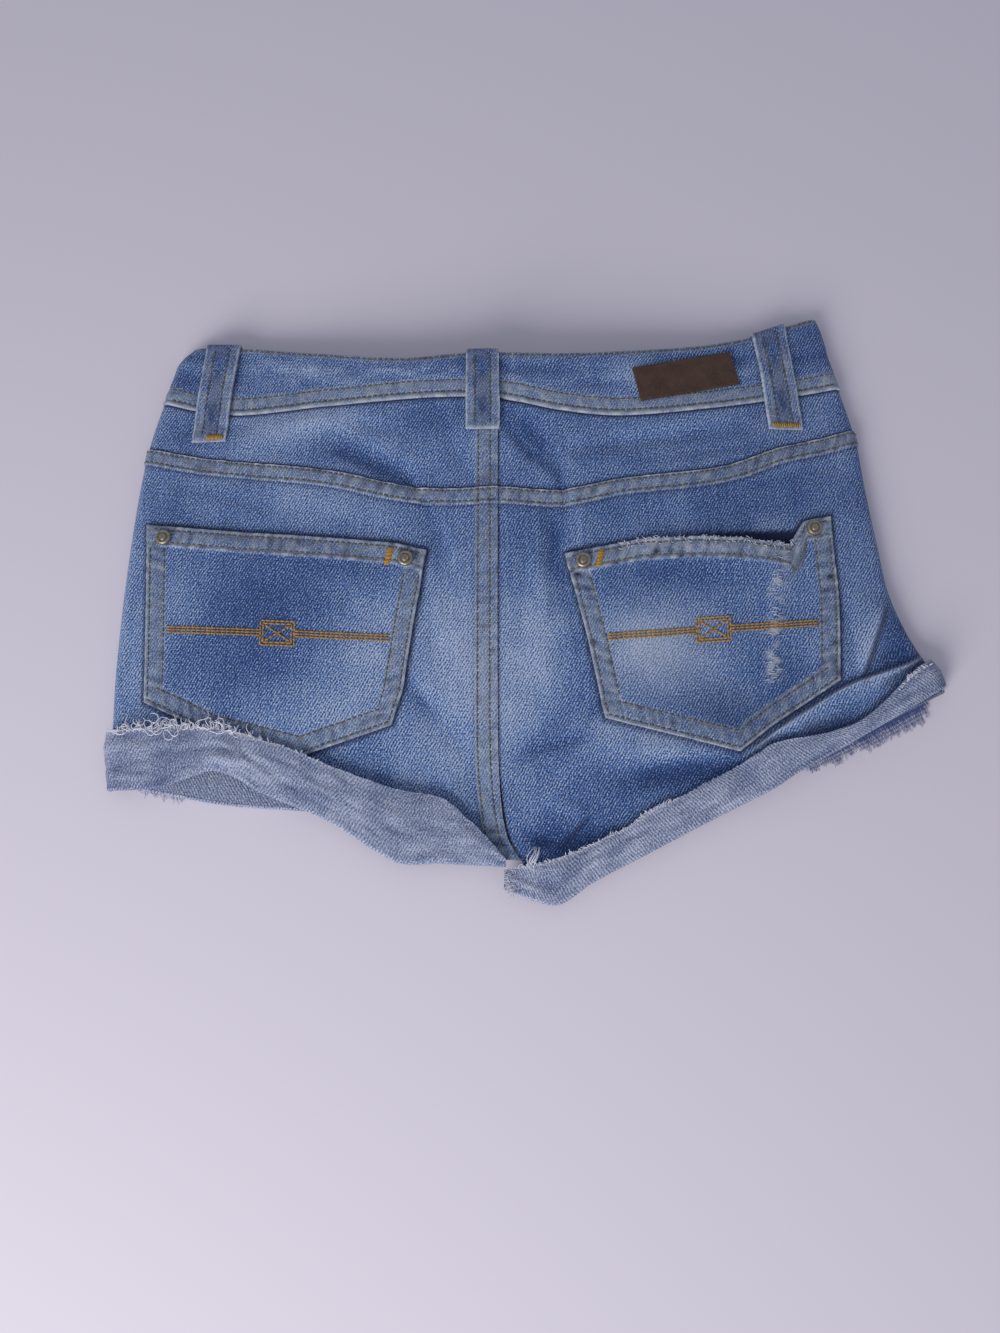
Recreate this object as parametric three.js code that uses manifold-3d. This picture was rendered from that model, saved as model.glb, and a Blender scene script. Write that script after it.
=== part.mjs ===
// Girls' denim cut-off shorts with rolled, frayed cuffs, laid face down on a flat surface.
// Millimetres. X runs across the hips, +Y towards the waist, +Z up. The origin lies on the surface,
// under the middle of the garment. The back is on top; the front lies under it, on the surface.
import * as THREE from 'three';
import { mergeVertices } from 'three/addons/utils/BufferGeometryUtils.js';
import Module from 'manifold-3d';

const wasm = await Module();
wasm.setup();

// Cloth and seams
const DENIM = 1.2;              // one layer of denim
const BAND = 2.4;               // two layers, in the waistband
const LOOP = 1.8;               // a folded belt loop
const LEATHER = 1.4;
const HALF_SEAM = 0.15;         // half the gap between two pieces at a seam
const LAY_GAP = 0.5;            // between a panel and what is sewn on it
const CROTCH_EASE = 3;          // how many more times that gap opens where the seams meet at the crotch
const FELL_RISE = 0.8;          // a felled seam stands this far above the cloth beside it
const YOKE_FELL = 8.5;          // width of the felled strip under the yoke
const CENTRE_FELL = 11.5;       // width of the felled strip beside the centre back seam
const FELL_EDGE = 0.9;          // the step down from the strip to the cloth
const SIDE_SEAM_Z = 4;          // height of the side seams above the surface
const CENTRE_X = -16;           // the centre back seam
const FLY_X = -14;              // the fly edge on the front
const HEM_LIFT = 1.6;           // the front leg rests on its own cuff
const SIDE_TURN = 5.5;          // the grids are fine over this distance from a side

// Side outlines: how far across the garment reaches at each place up it.
const SIDE_LEFT = [
  { y: 165, x: -180 }, { y: 146, x: -187 }, { y: 138, x: -194.5 }, { y: 118, x: -201.5 },
  { y: 80, x: -210.5 }, { y: 20, x: -216 }, { y: -40, x: -218 }, { y: -70, x: -217.3 },
  { y: -110, x: -214.8 },
];
const SIDE_RIGHT = [
  { y: 165, x: 165 }, { y: 119, x: 176 }, { y: 89, x: 183 }, { y: 60, x: 186 }, { y: 28, x: 190 },
  { y: 0, x: 194 }, { y: -20, x: 201 }, { y: -34, x: 208 }, { y: -50, x: 217.2 }, { y: -70, x: 220.5 },
];
// The centre back seam leans to the right at the crotch.
const CENTRE_SEAM = [
  { y: 140, x: -16 }, { y: -60, x: -16 }, { y: -100, x: -15 }, { y: -128, x: -11 }, { y: -142, x: -4 },
  { y: -156, x: -2 },
];

// Lines across the garment, from left to right.
const WAIST_TOP = [
  { x: -188, y: 144 }, { x: -160, y: 143 }, { x: -126, y: 138 }, { x: -70, y: 131.5 }, { x: -31, y: 133.5 },
  { x: 18, y: 133.5 }, { x: 51, y: 136 }, { x: 96, y: 142 }, { x: 125, y: 149 }, { x: 149, y: 158 },
  { x: 165, y: 163 },
];
const WAIST_SEAM = [
  { x: -204, y: 110 }, { x: -181, y: 104 }, { x: -158, y: 101 }, { x: -108, y: 104 }, { x: -50, y: 107 },
  { x: -15, y: 106 }, { x: 18, y: 99.5 }, { x: 51, y: 97.5 }, { x: 95, y: 103 }, { x: 141, y: 111.5 },
  { x: 176, y: 119 },
];
const YOKE_SEAM = [
  { x: -211, y: 83 }, { x: -180, y: 76 }, { x: -151, y: 72 }, { x: -107, y: 66.5 }, { x: -69, y: 58 },
  { x: -42, y: 55.5 }, { x: -16, y: 56.5 }, { x: 18, y: 55 }, { x: 50, y: 61.5 }, { x: 105, y: 69.5 },
  { x: 139, y: 82 }, { x: 162, y: 88 }, { x: 183, y: 95 },
];
const HEM_LEFT = [
  { x: -220, y: -105 }, { x: -190, y: -103.5 }, { x: -175, y: -98.5 }, { x: -162, y: -94.5 },
  { x: -150, y: -98 }, { x: -138, y: -105 },
  { x: -102, y: -120 }, { x: -68, y: -140 }, { x: -45, y: -141 }, { x: -14, y: -142.5 }, { x: -2, y: -143 },
];
const HEM_RIGHT = [
  { x: -13, y: -154.3 }, { x: 13.5, y: -162 }, { x: 31, y: -151.5 }, { x: 59, y: -137.2 },
  { x: 86, y: -123.3 }, { x: 109, y: -112 }, { x: 126, y: -103.4 }, { x: 137, y: -96.2 }, { x: 165, y: -81 },
  { x: 192, y: -65.8 }, { x: 221, y: -48.8 },
];
const CUFF_TOP_LEFT = [
  { x: -221, y: -76 }, { x: -197, y: -73 }, { x: -163, y: -74 }, { x: -123, y: -84 }, { x: -102, y: -93 },
  { x: -66, y: -105 }, { x: -43, y: -110 }, { x: -30, y: -121 }, { x: -14, y: -137.5 },
];
const CUFF_TOP_RIGHT = [
  { x: -13, y: -145 }, { x: 15, y: -139.5 }, { x: 31, y: -133 }, { x: 51, y: -123 }, { x: 61.5, y: -115.5 },
  { x: 88, y: -103.5 }, { x: 105, y: -94 }, { x: 117, y: -85 }, { x: 129, y: -80 }, { x: 152, y: -76.2 },
  { x: 170, y: -70 }, { x: 185, y: -58 }, { x: 200, y: -43.5 }, { x: 213, y: -35 },
];
// A soft roll of cloth lies above the right cuff; this is its upper edge.
const ROLL_TOP_RIGHT = [
  { x: -13, y: -138 }, { x: 46, y: -118 }, { x: 87, y: -100 }, { x: 108, y: -88.5 }, { x: 130, y: -73 },
  { x: 147, y: -62 }, { x: 165, y: -51.5 }, { x: 187, y: -43.5 }, { x: 201, y: -38.3 }, { x: 212, y: -31.5 },
];
const FRONT_WAIST_TOP = [
  { x: -188, y: 144 }, { x: -150, y: 128 }, { x: -100, y: 109 }, { x: -50, y: 98 }, { x: -14, y: 95 },
  { x: 22, y: 98 }, { x: 70, y: 111 }, { x: 120, y: 134 }, { x: 165, y: 163 },
];
const FRONT_WAIST_SEAM = [
  { x: -204, y: 110 }, { x: -160, y: 93 }, { x: -100, y: 73 }, { x: -50, y: 62 }, { x: -14, y: 59 },
  { x: 22, y: 61 }, { x: 80, y: 77 }, { x: 130, y: 97 }, { x: 176, y: 119 },
];
const FRONT_HEM_LEFT = [
  { x: -219, y: -102 }, { x: -196, y: -105.5 }, { x: -154, y: -112.5 }, { x: -97, y: -117.5 },
  { x: -55, y: -130 }, { x: -15, y: -136 },
];
const FRONT_HEM_RIGHT = [
  { x: -13, y: -136 }, { x: 13, y: -147 }, { x: 40, y: -139 }, { x: 90, y: -116 },
  { x: 130, y: -96 }, { x: 167, y: -79 }, { x: 200, y: -63 }, { x: 220, y: -53 },
];

// Height of the back above the surface: at the centre seam, half way out, and beside the side seam.
const HEIGHTS = [
  { y: 170, centre: 24, half: 17.5, side: 9.5 },
  { y: 105, centre: 23, half: 17.5, side: 9.5 },
  { y: 60, centre: 19, half: 16.5, side: 10 },
  { y: 0, centre: 15.5, half: 15, side: 9.5 },
  { y: -60, centre: 12, half: 12, side: 8.5 },
  { y: -110, centre: 8.5, half: 8.5, side: 7 },
  { y: -165, centre: 6.8, half: 6.8, side: 6.6 },
];

// The largest folds: a ridge (rise above 0) or trough from one place to another, and its width.
const FOLDS = [
  { at: 'left yoke trough', x1: -108, y1: 84, x2: -58, y2: 58, width: 12, rise: -2.2 },
  { at: 'left yoke ridge', x1: -152, y1: 86, x2: -112, y2: 95, width: 10, rise: 1.3 },
  { at: 'under the centre loop', x1: -10, y1: 100, x2: 16, y2: 74, width: 10, rise: -2.4 },
  { at: 'right yoke trough', x1: 24, y1: 79, x2: 118, y2: 92, width: 10, rise: -2.2 },
  { at: 'seat, left of the centre', x1: -52, y1: 46, x2: -44, y2: 14, width: 10, rise: -1.5 },
  { at: 'seat, right of the centre', x1: 12, y1: 46, x2: 17, y2: -5, width: 9, rise: -1.8 },
  { at: 'left pocket corner', x1: -60, y1: -58, x2: -38, y2: -80, width: 11, rise: -1.4 },
  { at: 'right thigh crescent', x1: 26, y1: -58, x2: -2, y2: -88, width: 9, rise: -1.6 },
  { at: 'under the right pocket', x1: 50, y1: -100, x2: 104, y2: -93, width: 9, rise: -2.2 },
  { at: 'right thigh ridge', x1: 34, y1: -82, x2: 76, y2: -86, width: 10, rise: 1.2 },
  { at: 'right crotch tuck', x1: 4, y1: -131, x2: 28, y2: -129, width: 7, rise: -2.4 },
  { at: 'right hip fold', x1: 190, y1: -8, x2: 176, y2: -36, width: 7, rise: 2.2 },
  { at: 'left cuff twist', x1: -142, y1: -85, x2: -164, y2: -93, width: 7, rise: 1 },
  { at: 'right hip hollow', x1: 196, y1: -30, x2: 184, y2: -40, width: 7, rise: -1.4 },
];
const ROLL_RISE = 4;            // the roll above the right cuff, at its upper edge
const ROLL_EDGE = 3;            // the width of that edge's rise
const ROLL_START_X = 104;       // where the roll rises out of the leg
const ROLL_FULL_X = 128;

// The cuffs: cloth turned up over the leg, wrong side out.
const BACK_CUFF = { inside: 1.4, inEdge: 2.2, start: 1.1 };   // how far it stands off the leg
const FRONT_CUFF = { inside: 0.4, inEdge: 0.4, start: 1.1, width: 20 };
const PANEL_END = 2.2;          // a leg panel ends this far above its fold line
const DOUBLE_ROLL = { from: -170, to: -150, extra: 1.3 };     // the left cuff is rolled twice here
const LEFT_CUFF_END = -12;
const RIGHT_CUFF_END = -13;

// Waistband, belt loops and patch
const BAND_RISE = 0.6;          // the band stands above the yoke's face
const LOOPS = [
  { name: 'left', topX: -170, bottomX: -175, bottomY: 85, width: 19, over: 0 },
  { name: 'centre', topX: -24.5, bottomX: -24.5, bottomY: 88, width: 18, over: FELL_RISE },
  { name: 'right', topX: 136, bottomX: 142.5, bottomY: 92.5, width: 19, over: 0 },
];
const LOOP_OVER = 0.5;          // gap between a loop and the band's top edge
const LOOP_BOW = 1.3;           // how far a loop stands off the band half way down
const PATCH = { x: 87.5, y: 122, length: 57, width: 20, angle: 13.3 };

// Back pockets: mouth and bottom from left to right, then the two edges from the mouth down.
const POCKETS = {
  left: {
    mouth: [
      { x: -205, y: 37 }, { x: -152, y: 31.5 }, { x: -106, y: 28 }, { x: -71, y: 25 }, { x: -54, y: 21 },
    ],
    bottom: [{ x: -200, y: -60 }, { x: -163, y: -77 }, { x: -118, y: -88.5 }, { x: -71, y: -72 }],
    leftEdge: [{ y: 37, x: -205 }, { y: -15, x: -202 }, { y: -60, x: -200 }],
    rightEdge: [{ y: 21, x: -54 }, { y: -16, x: -60 }, { y: -54, x: -65.5 }, { y: -72, x: -71 }],
    tipX: -118, gape: 0, gapeFrom: -200, gapeTo: -60,
    rivets: [{ x: -195, y: 29 }, { x: -65, y: 16 }],
  },
  right: {
    mouth: [
      { x: 20, y: 19.5 }, { x: 60, y: 27 }, { x: 92, y: 28 }, { x: 114, y: 27.5 }, { x: 139, y: 24.5 },
      { x: 148, y: 38.5 }, { x: 163, y: 41.5 },
    ],
    bottom: [
      { x: 39.5, y: -68.5 }, { x: 74, y: -77 }, { x: 108.5, y: -85.5 }, { x: 124, y: -73.5 },
      { x: 162, y: -48.5 },
    ],
    leftEdge: [{ y: 19, x: 20 }, { y: -27, x: 31 }, { y: -69, x: 39.5 }],
    rightEdge: [{ y: 42, x: 163 }, { y: -4, x: 164.5 }, { y: -53, x: 162 }],
    tipX: 108.5, gape: 3.2, gapeFrom: 52, gapeTo: 146,
    rivets: [{ x: 29, y: 15 }, { x: 153, y: 34 }],
  },
};
const POCKET_HEM = 11;          // the folded hem at a pocket's mouth
const POCKET_HEM_RISE = 0.7;
const GAPE_DEPTH = 26;          // how far down the pocket its mouth hangs open
const RIVET = { radius: 4.2, height: 2, crown: 2.4, dimple: 1.1 };

// Front fastening
const BUTTON = { x: FLY_X - 11, y: 77, radius: 8.5, rim: 2.4, neck: 3, lift: 3.2 };
const ZIP = { width: 26, length: 92, thick: 1 };

// Frayed edges: threads on a narrow strip beside the cloth's raw edge.
const STRIP = { gap: 0.35, width: 1.3, thick: 1 };
const THREAD_RADIUS = 0.45;
const FRINGES = [
  { name: 'cuff_left_raw', layer: 'back', line: CUFF_TOP_LEFT, away: 1, from: -213, to: -132, lift: 3.1,
    count: 28, short: 5, long: 10, spread: 1.15, end: 0.8 },
  { name: 'front_right_hem', layer: 'front', line: FRONT_HEM_RIGHT, away: -1, from: 146, to: 210, lift: 0.5,
    count: 42, short: 8, long: 12, spread: 0.22, end: -0.3 },
  { name: 'front_left_hem', layer: 'front', line: FRONT_HEM_LEFT, away: -1, from: -204, to: -176, lift: 0.5,
    count: 12, short: 3, long: 6, spread: 0.3, end: -0.3 },
  { name: 'cuff_right_end', layer: 'back', line: CUFF_TOP_RIGHT, away: 1, from: 192, to: 206, lift: 3.1,
    count: 8, short: 4, long: 6, spread: 0.9, end: 0.6 },
];

const COLOURS = {
  denim: '#6c86ad',
  wrongSide: '#a9b0c6',
  leather: '#45322d',
  metal: '#6f6c62',
  thread: '#c6ccda',
};

/** A smooth curve through a table's rows: column `out` for a value of column `key`, with its slope. */
function through(rows, key, out) {
  const sorted = [...rows].sort((a, b) => a[key] - b[key]);
  const at = sorted.map((row) => row[key]);
  const value = sorted.map((row) => row[out]);
  const last = at.length - 1;
  const slope = value.map((v, i) => {
    const a = Math.max(i - 1, 0);
    const b = Math.min(i + 1, last);
    return (value[b] - value[a]) / (at[b] - at[a]);
  });
  return (where) => {
    if (where <= at[0]) return value[0] + slope[0] * (where - at[0]);
    if (where >= at[last]) return value[last] + slope[last] * (where - at[last]);
    const i = at.findIndex((end) => end > where) - 1;
    const span = at[i + 1] - at[i];
    const t = (where - at[i]) / span;
    const early = (1 + 2 * t) * (1 - t) ** 2 * value[i] + t * (1 - t) ** 2 * span * slope[i];
    const late = t * t * (3 - 2 * t) * value[i + 1] + t * t * (t - 1) * span * slope[i + 1];
    return early + late;
  };
}

/** Straight lines between a table's rows, for outlines with corners. */
function straight(rows, key, out) {
  return (where) => {
    const found = rows.findIndex((row) => (row[key] - where) * (rows.at(-1)[key] - rows[0][key]) > 0);
    const i = clamp(found < 0 ? rows.length - 1 : found, 1, rows.length - 1);
    const [a, b] = [rows[i - 1], rows[i]];
    return mix(a[out], b[out], (where - a[key]) / (b[key] - a[key]));
  };
}

const sideLeft = through(SIDE_LEFT, 'y', 'x');
const sideRight = through(SIDE_RIGHT, 'y', 'x');
const centreSeam = through(CENTRE_SEAM, 'y', 'x');
const waistTop = through(WAIST_TOP, 'x', 'y');
const waistSeam = through(WAIST_SEAM, 'x', 'y');
const yokeSeam = through(YOKE_SEAM, 'x', 'y');
const rollTop = through(ROLL_TOP_RIGHT, 'x', 'y');
const cuffTopRight = through(CUFF_TOP_RIGHT, 'x', 'y');
const frontHemLeft = through(FRONT_HEM_LEFT, 'x', 'y');
const frontHemRight = through(FRONT_HEM_RIGHT, 'x', 'y');
const frontWaistTop = through(FRONT_WAIST_TOP, 'x', 'y');
const frontWaistSeam = through(FRONT_WAIST_SEAM, 'x', 'y');
const heightAt = {
  centre: through(HEIGHTS, 'y', 'centre'),
  half: through(HEIGHTS, 'y', 'half'),
  side: through(HEIGHTS, 'y', 'side'),
};

const clamp = (value, low = 0, high = 1) => Math.min(Math.max(value, low), high);
const mix = (a, b, t) => a + (b - a) * t;
const smooth = (t) => clamp(t) ** 2 * (3 - 2 * clamp(t));

/** How far a fold's soft bump reaches at (x, y): 1 on its line, 0 well outside it. */
function foldShare(fold, x, y) {
  const dx = fold.x2 - fold.x1;
  const dy = fold.y2 - fold.y1;
  const along = clamp(((x - fold.x1) * dx + (y - fold.y1) * dy) / (dx * dx + dy * dy));
  const away = Math.hypot(x - fold.x1 - along * dx, y - fold.y1 - along * dy);
  return Math.exp(-((away / fold.width) ** 2) * 2.2) * (0.55 + 0.45 * Math.sin(Math.PI * along));
}

/** The roll of cloth above the right cuff: a crisp upper edge, falling off towards the cuff. */
function rollHeight(x, y) {
  const top = rollTop(x);
  const inside = smooth((top - y) / ROLL_EDGE + 0.5);
  const fall = 1 - 0.75 * clamp((top - y) / Math.max(top - cuffTopRight(x), 4));
  return ROLL_RISE * inside * fall * smooth((x - ROLL_START_X) / (ROLL_FULL_X - ROLL_START_X));
}

/** Height of the back's outer face, before it turns down to the side seams. */
function dome(x, y) {
  const side = x < CENTRE_X ? sideLeft(y) : sideRight(y);
  const t = (x - CENTRE_X) / (side - CENTRE_X);
  const centre = heightAt.centre(y);
  const toHalf = heightAt.half(y) - centre;
  const toSide = heightAt.side(y) - centre;
  const square = (16 * toHalf - toSide) / 3;
  const folds = FOLDS.reduce((sum, fold) => sum + fold.rise * foldShare(fold, x, y), 0);
  return centre + square * t ** 2 + (toSide - square) * t ** 4 + folds + rollHeight(x, y);
}

/** Height of the front's outer face, which lies on the surface but for the cuff and the button. */
function underside(x, y) {
  const hem = x < CENTRE_X ? frontHemLeft(x) : frontHemRight(x);
  const overCuff = HEM_LIFT * smooth(1 - (y - hem - FRONT_CUFF.width - 3) / 16);
  const overButton = BUTTON.lift * smooth(1.3 - Math.hypot(x - BUTTON.x, y - BUTTON.y) / 40);
  return Math.max(overCuff, overButton);
}

/**
 * A point of one face of the body: the back's outer face, or the front's, with its outward normal.
 * Both turn round to meet at the side seams, each in a quarter circle as deep as it is high there.
 */
function facePoint(layer, x, y) {
  const left = x < CENTRE_X;
  const side = left ? sideLeft : sideRight;
  const lean = side(y + 0.5) - side(y - 0.5);
  const stretch = Math.hypot(1, lean);
  const outward = new THREE.Vector3(left ? -1 : 1, left ? lean : -lean, 0).divideScalar(stretch);
  const height = layer === 'back' ? dome : underside;
  const sign = layer === 'back' ? 1 : -1;
  const seam = SIDE_SEAM_Z + sign * HALF_SEAM;
  const radius = Math.abs(height(x, y) - seam);
  const inset = Math.max(0, (left ? x - side(y) : side(y) - x) / stretch);
  const turn = Math.acos(clamp(1 - inset / radius));
  const slopeX = height(x + 0.5, y) - height(x - 0.5, y);
  const slopeY = height(x, y + 0.5) - height(x, y - 0.5);
  const share = Math.sin(turn);
  const normal = new THREE.Vector3(-slopeX * sign * share, -slopeY * sign * share, sign * share);
  normal.addScaledVector(outward, Math.cos(turn)).normalize();
  return { point: new THREE.Vector3(x, y, seam + (height(x, y) - seam) * share), normal };
}

/** Where a line across the garment meets a side outline. */
function corner(line, side) {
  let x = side(line(0));
  for (let step = 0; step < 12; step += 1) x = side(line(x));
  return new THREE.Vector2(x, line(x));
}

/**
 * A piece's plan between a line below and a line above, from its outer edge (u = 0) to its inner
 * edge (u = 1). Both edges give x for a value of y; the lines give y for a value of x.
 */
function planPiece({ below, above, outer, inner, belowGap = 0, aboveGap = 0, innerGap = 0 }) {
  const slant = (line, x) => Math.hypot(1, line(x + 0.5) - line(x - 0.5));
  const low = (x) => below(x) + belowGap * slant(below, x);
  const high = (x) => above(x) - aboveGap * slant(above, x);
  const inwards = (y) => inner(y) + innerGap * (1 + CROTCH_EASE * smooth((-90 - y) / 30));
  const corners = {
    outerLow: corner(low, outer), outerHigh: corner(high, outer),
    innerLow: corner(low, inwards), innerHigh: corner(high, inwards),
  };
  const onLine = (line, a, b, u) => {
    const x = mix(a.x, b.x, u);
    return new THREE.Vector2(x, line(x));
  };
  const onEdge = (edge, a, b, v) => {
    const y = mix(a.y, b.y, v);
    return new THREE.Vector2(edge(y), y);
  };
  const plan = (u, v) => {
    const across = onLine(low, corners.outerLow, corners.innerLow, u)
      .lerp(onLine(high, corners.outerHigh, corners.innerHigh, u), v);
    const up = onEdge(outer, corners.outerLow, corners.outerHigh, v)
      .lerp(onEdge(inwards, corners.innerLow, corners.innerHigh, v), u);
    const flat = corners.outerLow.clone().lerp(corners.innerLow, u)
      .lerp(corners.outerHigh.clone().lerp(corners.innerHigh, u), v);
    return across.add(up).sub(flat);
  };
  return {
    plan,
    length: (v) => plan(0, v).distanceTo(plan(1, v)),
    height: (u) => plan(u, 0).distanceTo(plan(u, 1)),
  };
}

/** A closed wall between two grids of points of the same size, outer face first. */
function wall(outer, inner) {
  const rows = outer.length;
  const columns = outer[0].length;
  const position = [...outer.flat(), ...inner.flat()].flatMap((p) => [p.x, p.y, p.z]);
  const index = [];
  const at = (layer, i, j) => layer * rows * columns + i * columns + j;
  const quad = (a, b, c, d) => index.push(a, b, c, a, c, d);
  for (let i = 0; i < rows - 1; i += 1) {
    for (let j = 0; j < columns - 1; j += 1) {
      quad(at(0, i, j), at(0, i, j + 1), at(0, i + 1, j + 1), at(0, i + 1, j));
      quad(at(1, i, j), at(1, i + 1, j), at(1, i + 1, j + 1), at(1, i, j + 1));
    }
  }
  for (let j = 0; j < columns - 1; j += 1) {
    quad(at(0, 0, j), at(1, 0, j), at(1, 0, j + 1), at(0, 0, j + 1));
    quad(at(0, rows - 1, j), at(0, rows - 1, j + 1), at(1, rows - 1, j + 1), at(1, rows - 1, j));
  }
  for (let i = 0; i < rows - 1; i += 1) {
    quad(at(0, i, 0), at(0, i + 1, 0), at(1, i + 1, 0), at(1, i, 0));
    quad(at(0, i, columns - 1), at(1, i, columns - 1), at(1, i + 1, columns - 1), at(0, i + 1, columns - 1));
  }
  const geometry = new THREE.BufferGeometry();
  geometry.setAttribute('position', new THREE.Float32BufferAttribute(position, 3));
  geometry.setIndex(index);
  return facingOut(geometry);
}

/** Turns a closed geometry's faces outwards, if they all point in. */
function facingOut(geometry) {
  const p = geometry.attributes.position;
  const index = geometry.index.array;
  const [a, b, c] = [new THREE.Vector3(), new THREE.Vector3(), new THREE.Vector3()];
  let volume = 0;
  for (let i = 0; i < index.length; i += 3) {
    a.fromBufferAttribute(p, index[i]);
    b.fromBufferAttribute(p, index[i + 1]);
    c.fromBufferAttribute(p, index[i + 2]);
    volume += a.dot(b.cross(c));
  }
  if (volume < 0) {
    for (let i = 0; i < index.length; i += 3) [index[i + 1], index[i + 2]] = [index[i + 2], index[i + 1]];
  }
  geometry.computeVertexNormals();
  return geometry;
}

const group = new THREE.Group();

/** Adds a named piece in its own material. */
function addPiece(name, geometry, colour, roughness = 0.9, metalness = 0) {
  const material = new THREE.MeshStandardMaterial({ color: colour, roughness, metalness });
  const mesh = new THREE.Mesh(geometry, material);
  mesh.name = name;
  group.add(mesh);
  return mesh;
}

/** Even steps from a to b, both ends included. */
const steps = (a, b, count) => Array.from({ length: count + 1 }, (_, i) => mix(a, b, i / count));

/**
 * A panel of the body as a wall: `columns` and `rows` give, for the other coordinate, the shares at
 * which the grid is drawn, and `rise` lifts the outer face where a seam is felled.
 */
function panelWall(piece, layer, columns, rows, thickness, rise = () => 0) {
  const outer = [];
  const inner = [];
  for (const row of rows) {
    outer.push([]);
    inner.push([]);
    for (const column of columns) {
      const u = column(piece.length(row(0.5)), row(0.5));
      const v = row(u);
      const at = piece.plan(u, v);
      const { point, normal } = facePoint(layer, at.x, at.y);
      const lift = rise(u, v, at);
      outer.at(-1).push(point.clone().addScaledVector(normal, lift));
      inner.at(-1).push(point.clone().addScaledVector(normal, lift - thickness));
    }
  }
  return wall(outer, inner);
}

/** Columns that turn round the side seam in `turns` steps, then run evenly inwards. */
function columnsFromSide(turns, even, lastStrip = []) {
  const round = (t) => SIDE_TURN * (1 - Math.cos((t * Math.PI) / 2));
  const turn = steps(0, 1, turns).map((t) => (length) => round(t) / length);
  const from = (length) => SIDE_TURN / length;
  const to = (length) => 1 - (lastStrip.length ? lastStrip[0] + 4 : 0) / length;
  const middle = steps(0, 1, even).slice(1).map((t) => (length) => mix(from(length), to(length), t));
  return [...turn, ...middle, ...lastStrip.map((distance) => (length) => 1 - distance / length)];
}

const SIDES = [
  { side: 'left', outer: sideLeft, gap: -HALF_SEAM, hem: HEM_LEFT, cuffTop: CUFF_TOP_LEFT,
    crease: CUFF_TOP_LEFT, frontHem: frontHemLeft, cuffEnd: LEFT_CUFF_END },
  { side: 'right', outer: sideRight, gap: HALF_SEAM, hem: HEM_RIGHT, cuffTop: CUFF_TOP_RIGHT,
    crease: ROLL_TOP_RIGHT, frontHem: frontHemRight, cuffEnd: RIGHT_CUFF_END },
];
const even = (a, b, count) => steps(a, b, count).map((share) => () => share);

/** The leg's back panel, from the fold of its cuff to the felled seam under the yoke. */
function addBackPanel({ side, outer, gap, hem, crease }) {
  const hemLine = through(hem, 'x', 'y');
  const creaseLine = through(crease, 'x', 'y');
  const panel = planPiece({
    below: hemLine, above: yokeSeam, outer, inner: centreSeam,
    belowGap: PANEL_END, aboveGap: HALF_SEAM, innerGap: gap,
  });
  const strip = side === 'left' ? [CENTRE_FELL + FELL_EDGE, CENTRE_FELL, 0] : [CENTRE_FELL, 0];
  const creaseShare = (u) => {
    let share = 0;
    for (let step = 0; step < 6; step += 1) {
      const at = panel.plan(u, share);
      share += (creaseLine(at.x) - at.y) / panel.height(u);
    }
    return clamp(share, 0.03, 0.5);
  };
  const fellShare = (u) => 1 - YOKE_FELL / panel.height(u);
  const stepShare = (u) => 1 - (YOKE_FELL + FELL_EDGE) / panel.height(u);
  const rows = [
    () => 0,
    (u) => creaseShare(u) * 0.5,
    (u) => creaseShare(u) - ROLL_EDGE / 2 / panel.height(u),
    (u) => creaseShare(u) + ROLL_EDGE / 2 / panel.height(u),
    ...steps(0, 1, 12).slice(1, -1).map((t) => (u) => mix(creaseShare(u), stepShare(u), t)),
    stepShare,
    fellShare,
    () => 1,
  ];
  const rise = (u, v) => {
    const yokeStrip = v > fellShare(u) - 1e-6;
    const centreStrip = side === 'left' && (1 - u) * panel.length(v) < CENTRE_FELL + 0.05;
    return yokeStrip || centreStrip ? FELL_RISE : 0;
  };
  const columns = columnsFromSide(4, 16, strip);
  addPiece(`back_panel_${side}`, panelWall(panel, 'back', columns, rows, DENIM, rise), COLOURS.denim);
}

/** The yoke between the back panel and the waistband. */
function addYoke({ side, outer, gap }) {
  const yoke = planPiece({
    below: yokeSeam, above: waistSeam, outer, inner: centreSeam,
    belowGap: HALF_SEAM, aboveGap: HALF_SEAM, innerGap: gap,
  });
  const strip = side === 'left' ? [CENTRE_FELL + FELL_EDGE, CENTRE_FELL, 0] : [CENTRE_FELL, 0];
  const rise = (u, v) => (side === 'left' && (1 - u) * yoke.length(v) < CENTRE_FELL + 0.05 ? FELL_RISE : 0);
  const columns = columnsFromSide(4, 16, strip);
  addPiece(`back_yoke_${side}`, panelWall(yoke, 'back', columns, even(0, 1, 5), DENIM, rise), COLOURS.denim);
}

/** The leg's front panel, flat on the surface, and the front waistband above it. */
function addFront({ side, outer, gap, frontHem }) {
  const inner = () => FLY_X;
  const panel = planPiece({
    below: frontHem, above: frontWaistSeam, outer, inner,
    belowGap: PANEL_END, aboveGap: HALF_SEAM, innerGap: gap,
  });
  const columns = columnsFromSide(4, 11);
  addPiece(`front_panel_${side}`, panelWall(panel, 'front', columns, even(0, 1, 12), DENIM), COLOURS.denim);
  const band = planPiece({
    below: frontWaistSeam, above: frontWaistTop, outer, inner, belowGap: HALF_SEAM, innerGap: gap,
  });
  addPiece(`waistband_front_${side}`, panelWall(band, 'front', columns, even(0, 1, 3), BAND), COLOURS.denim);
}

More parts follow.
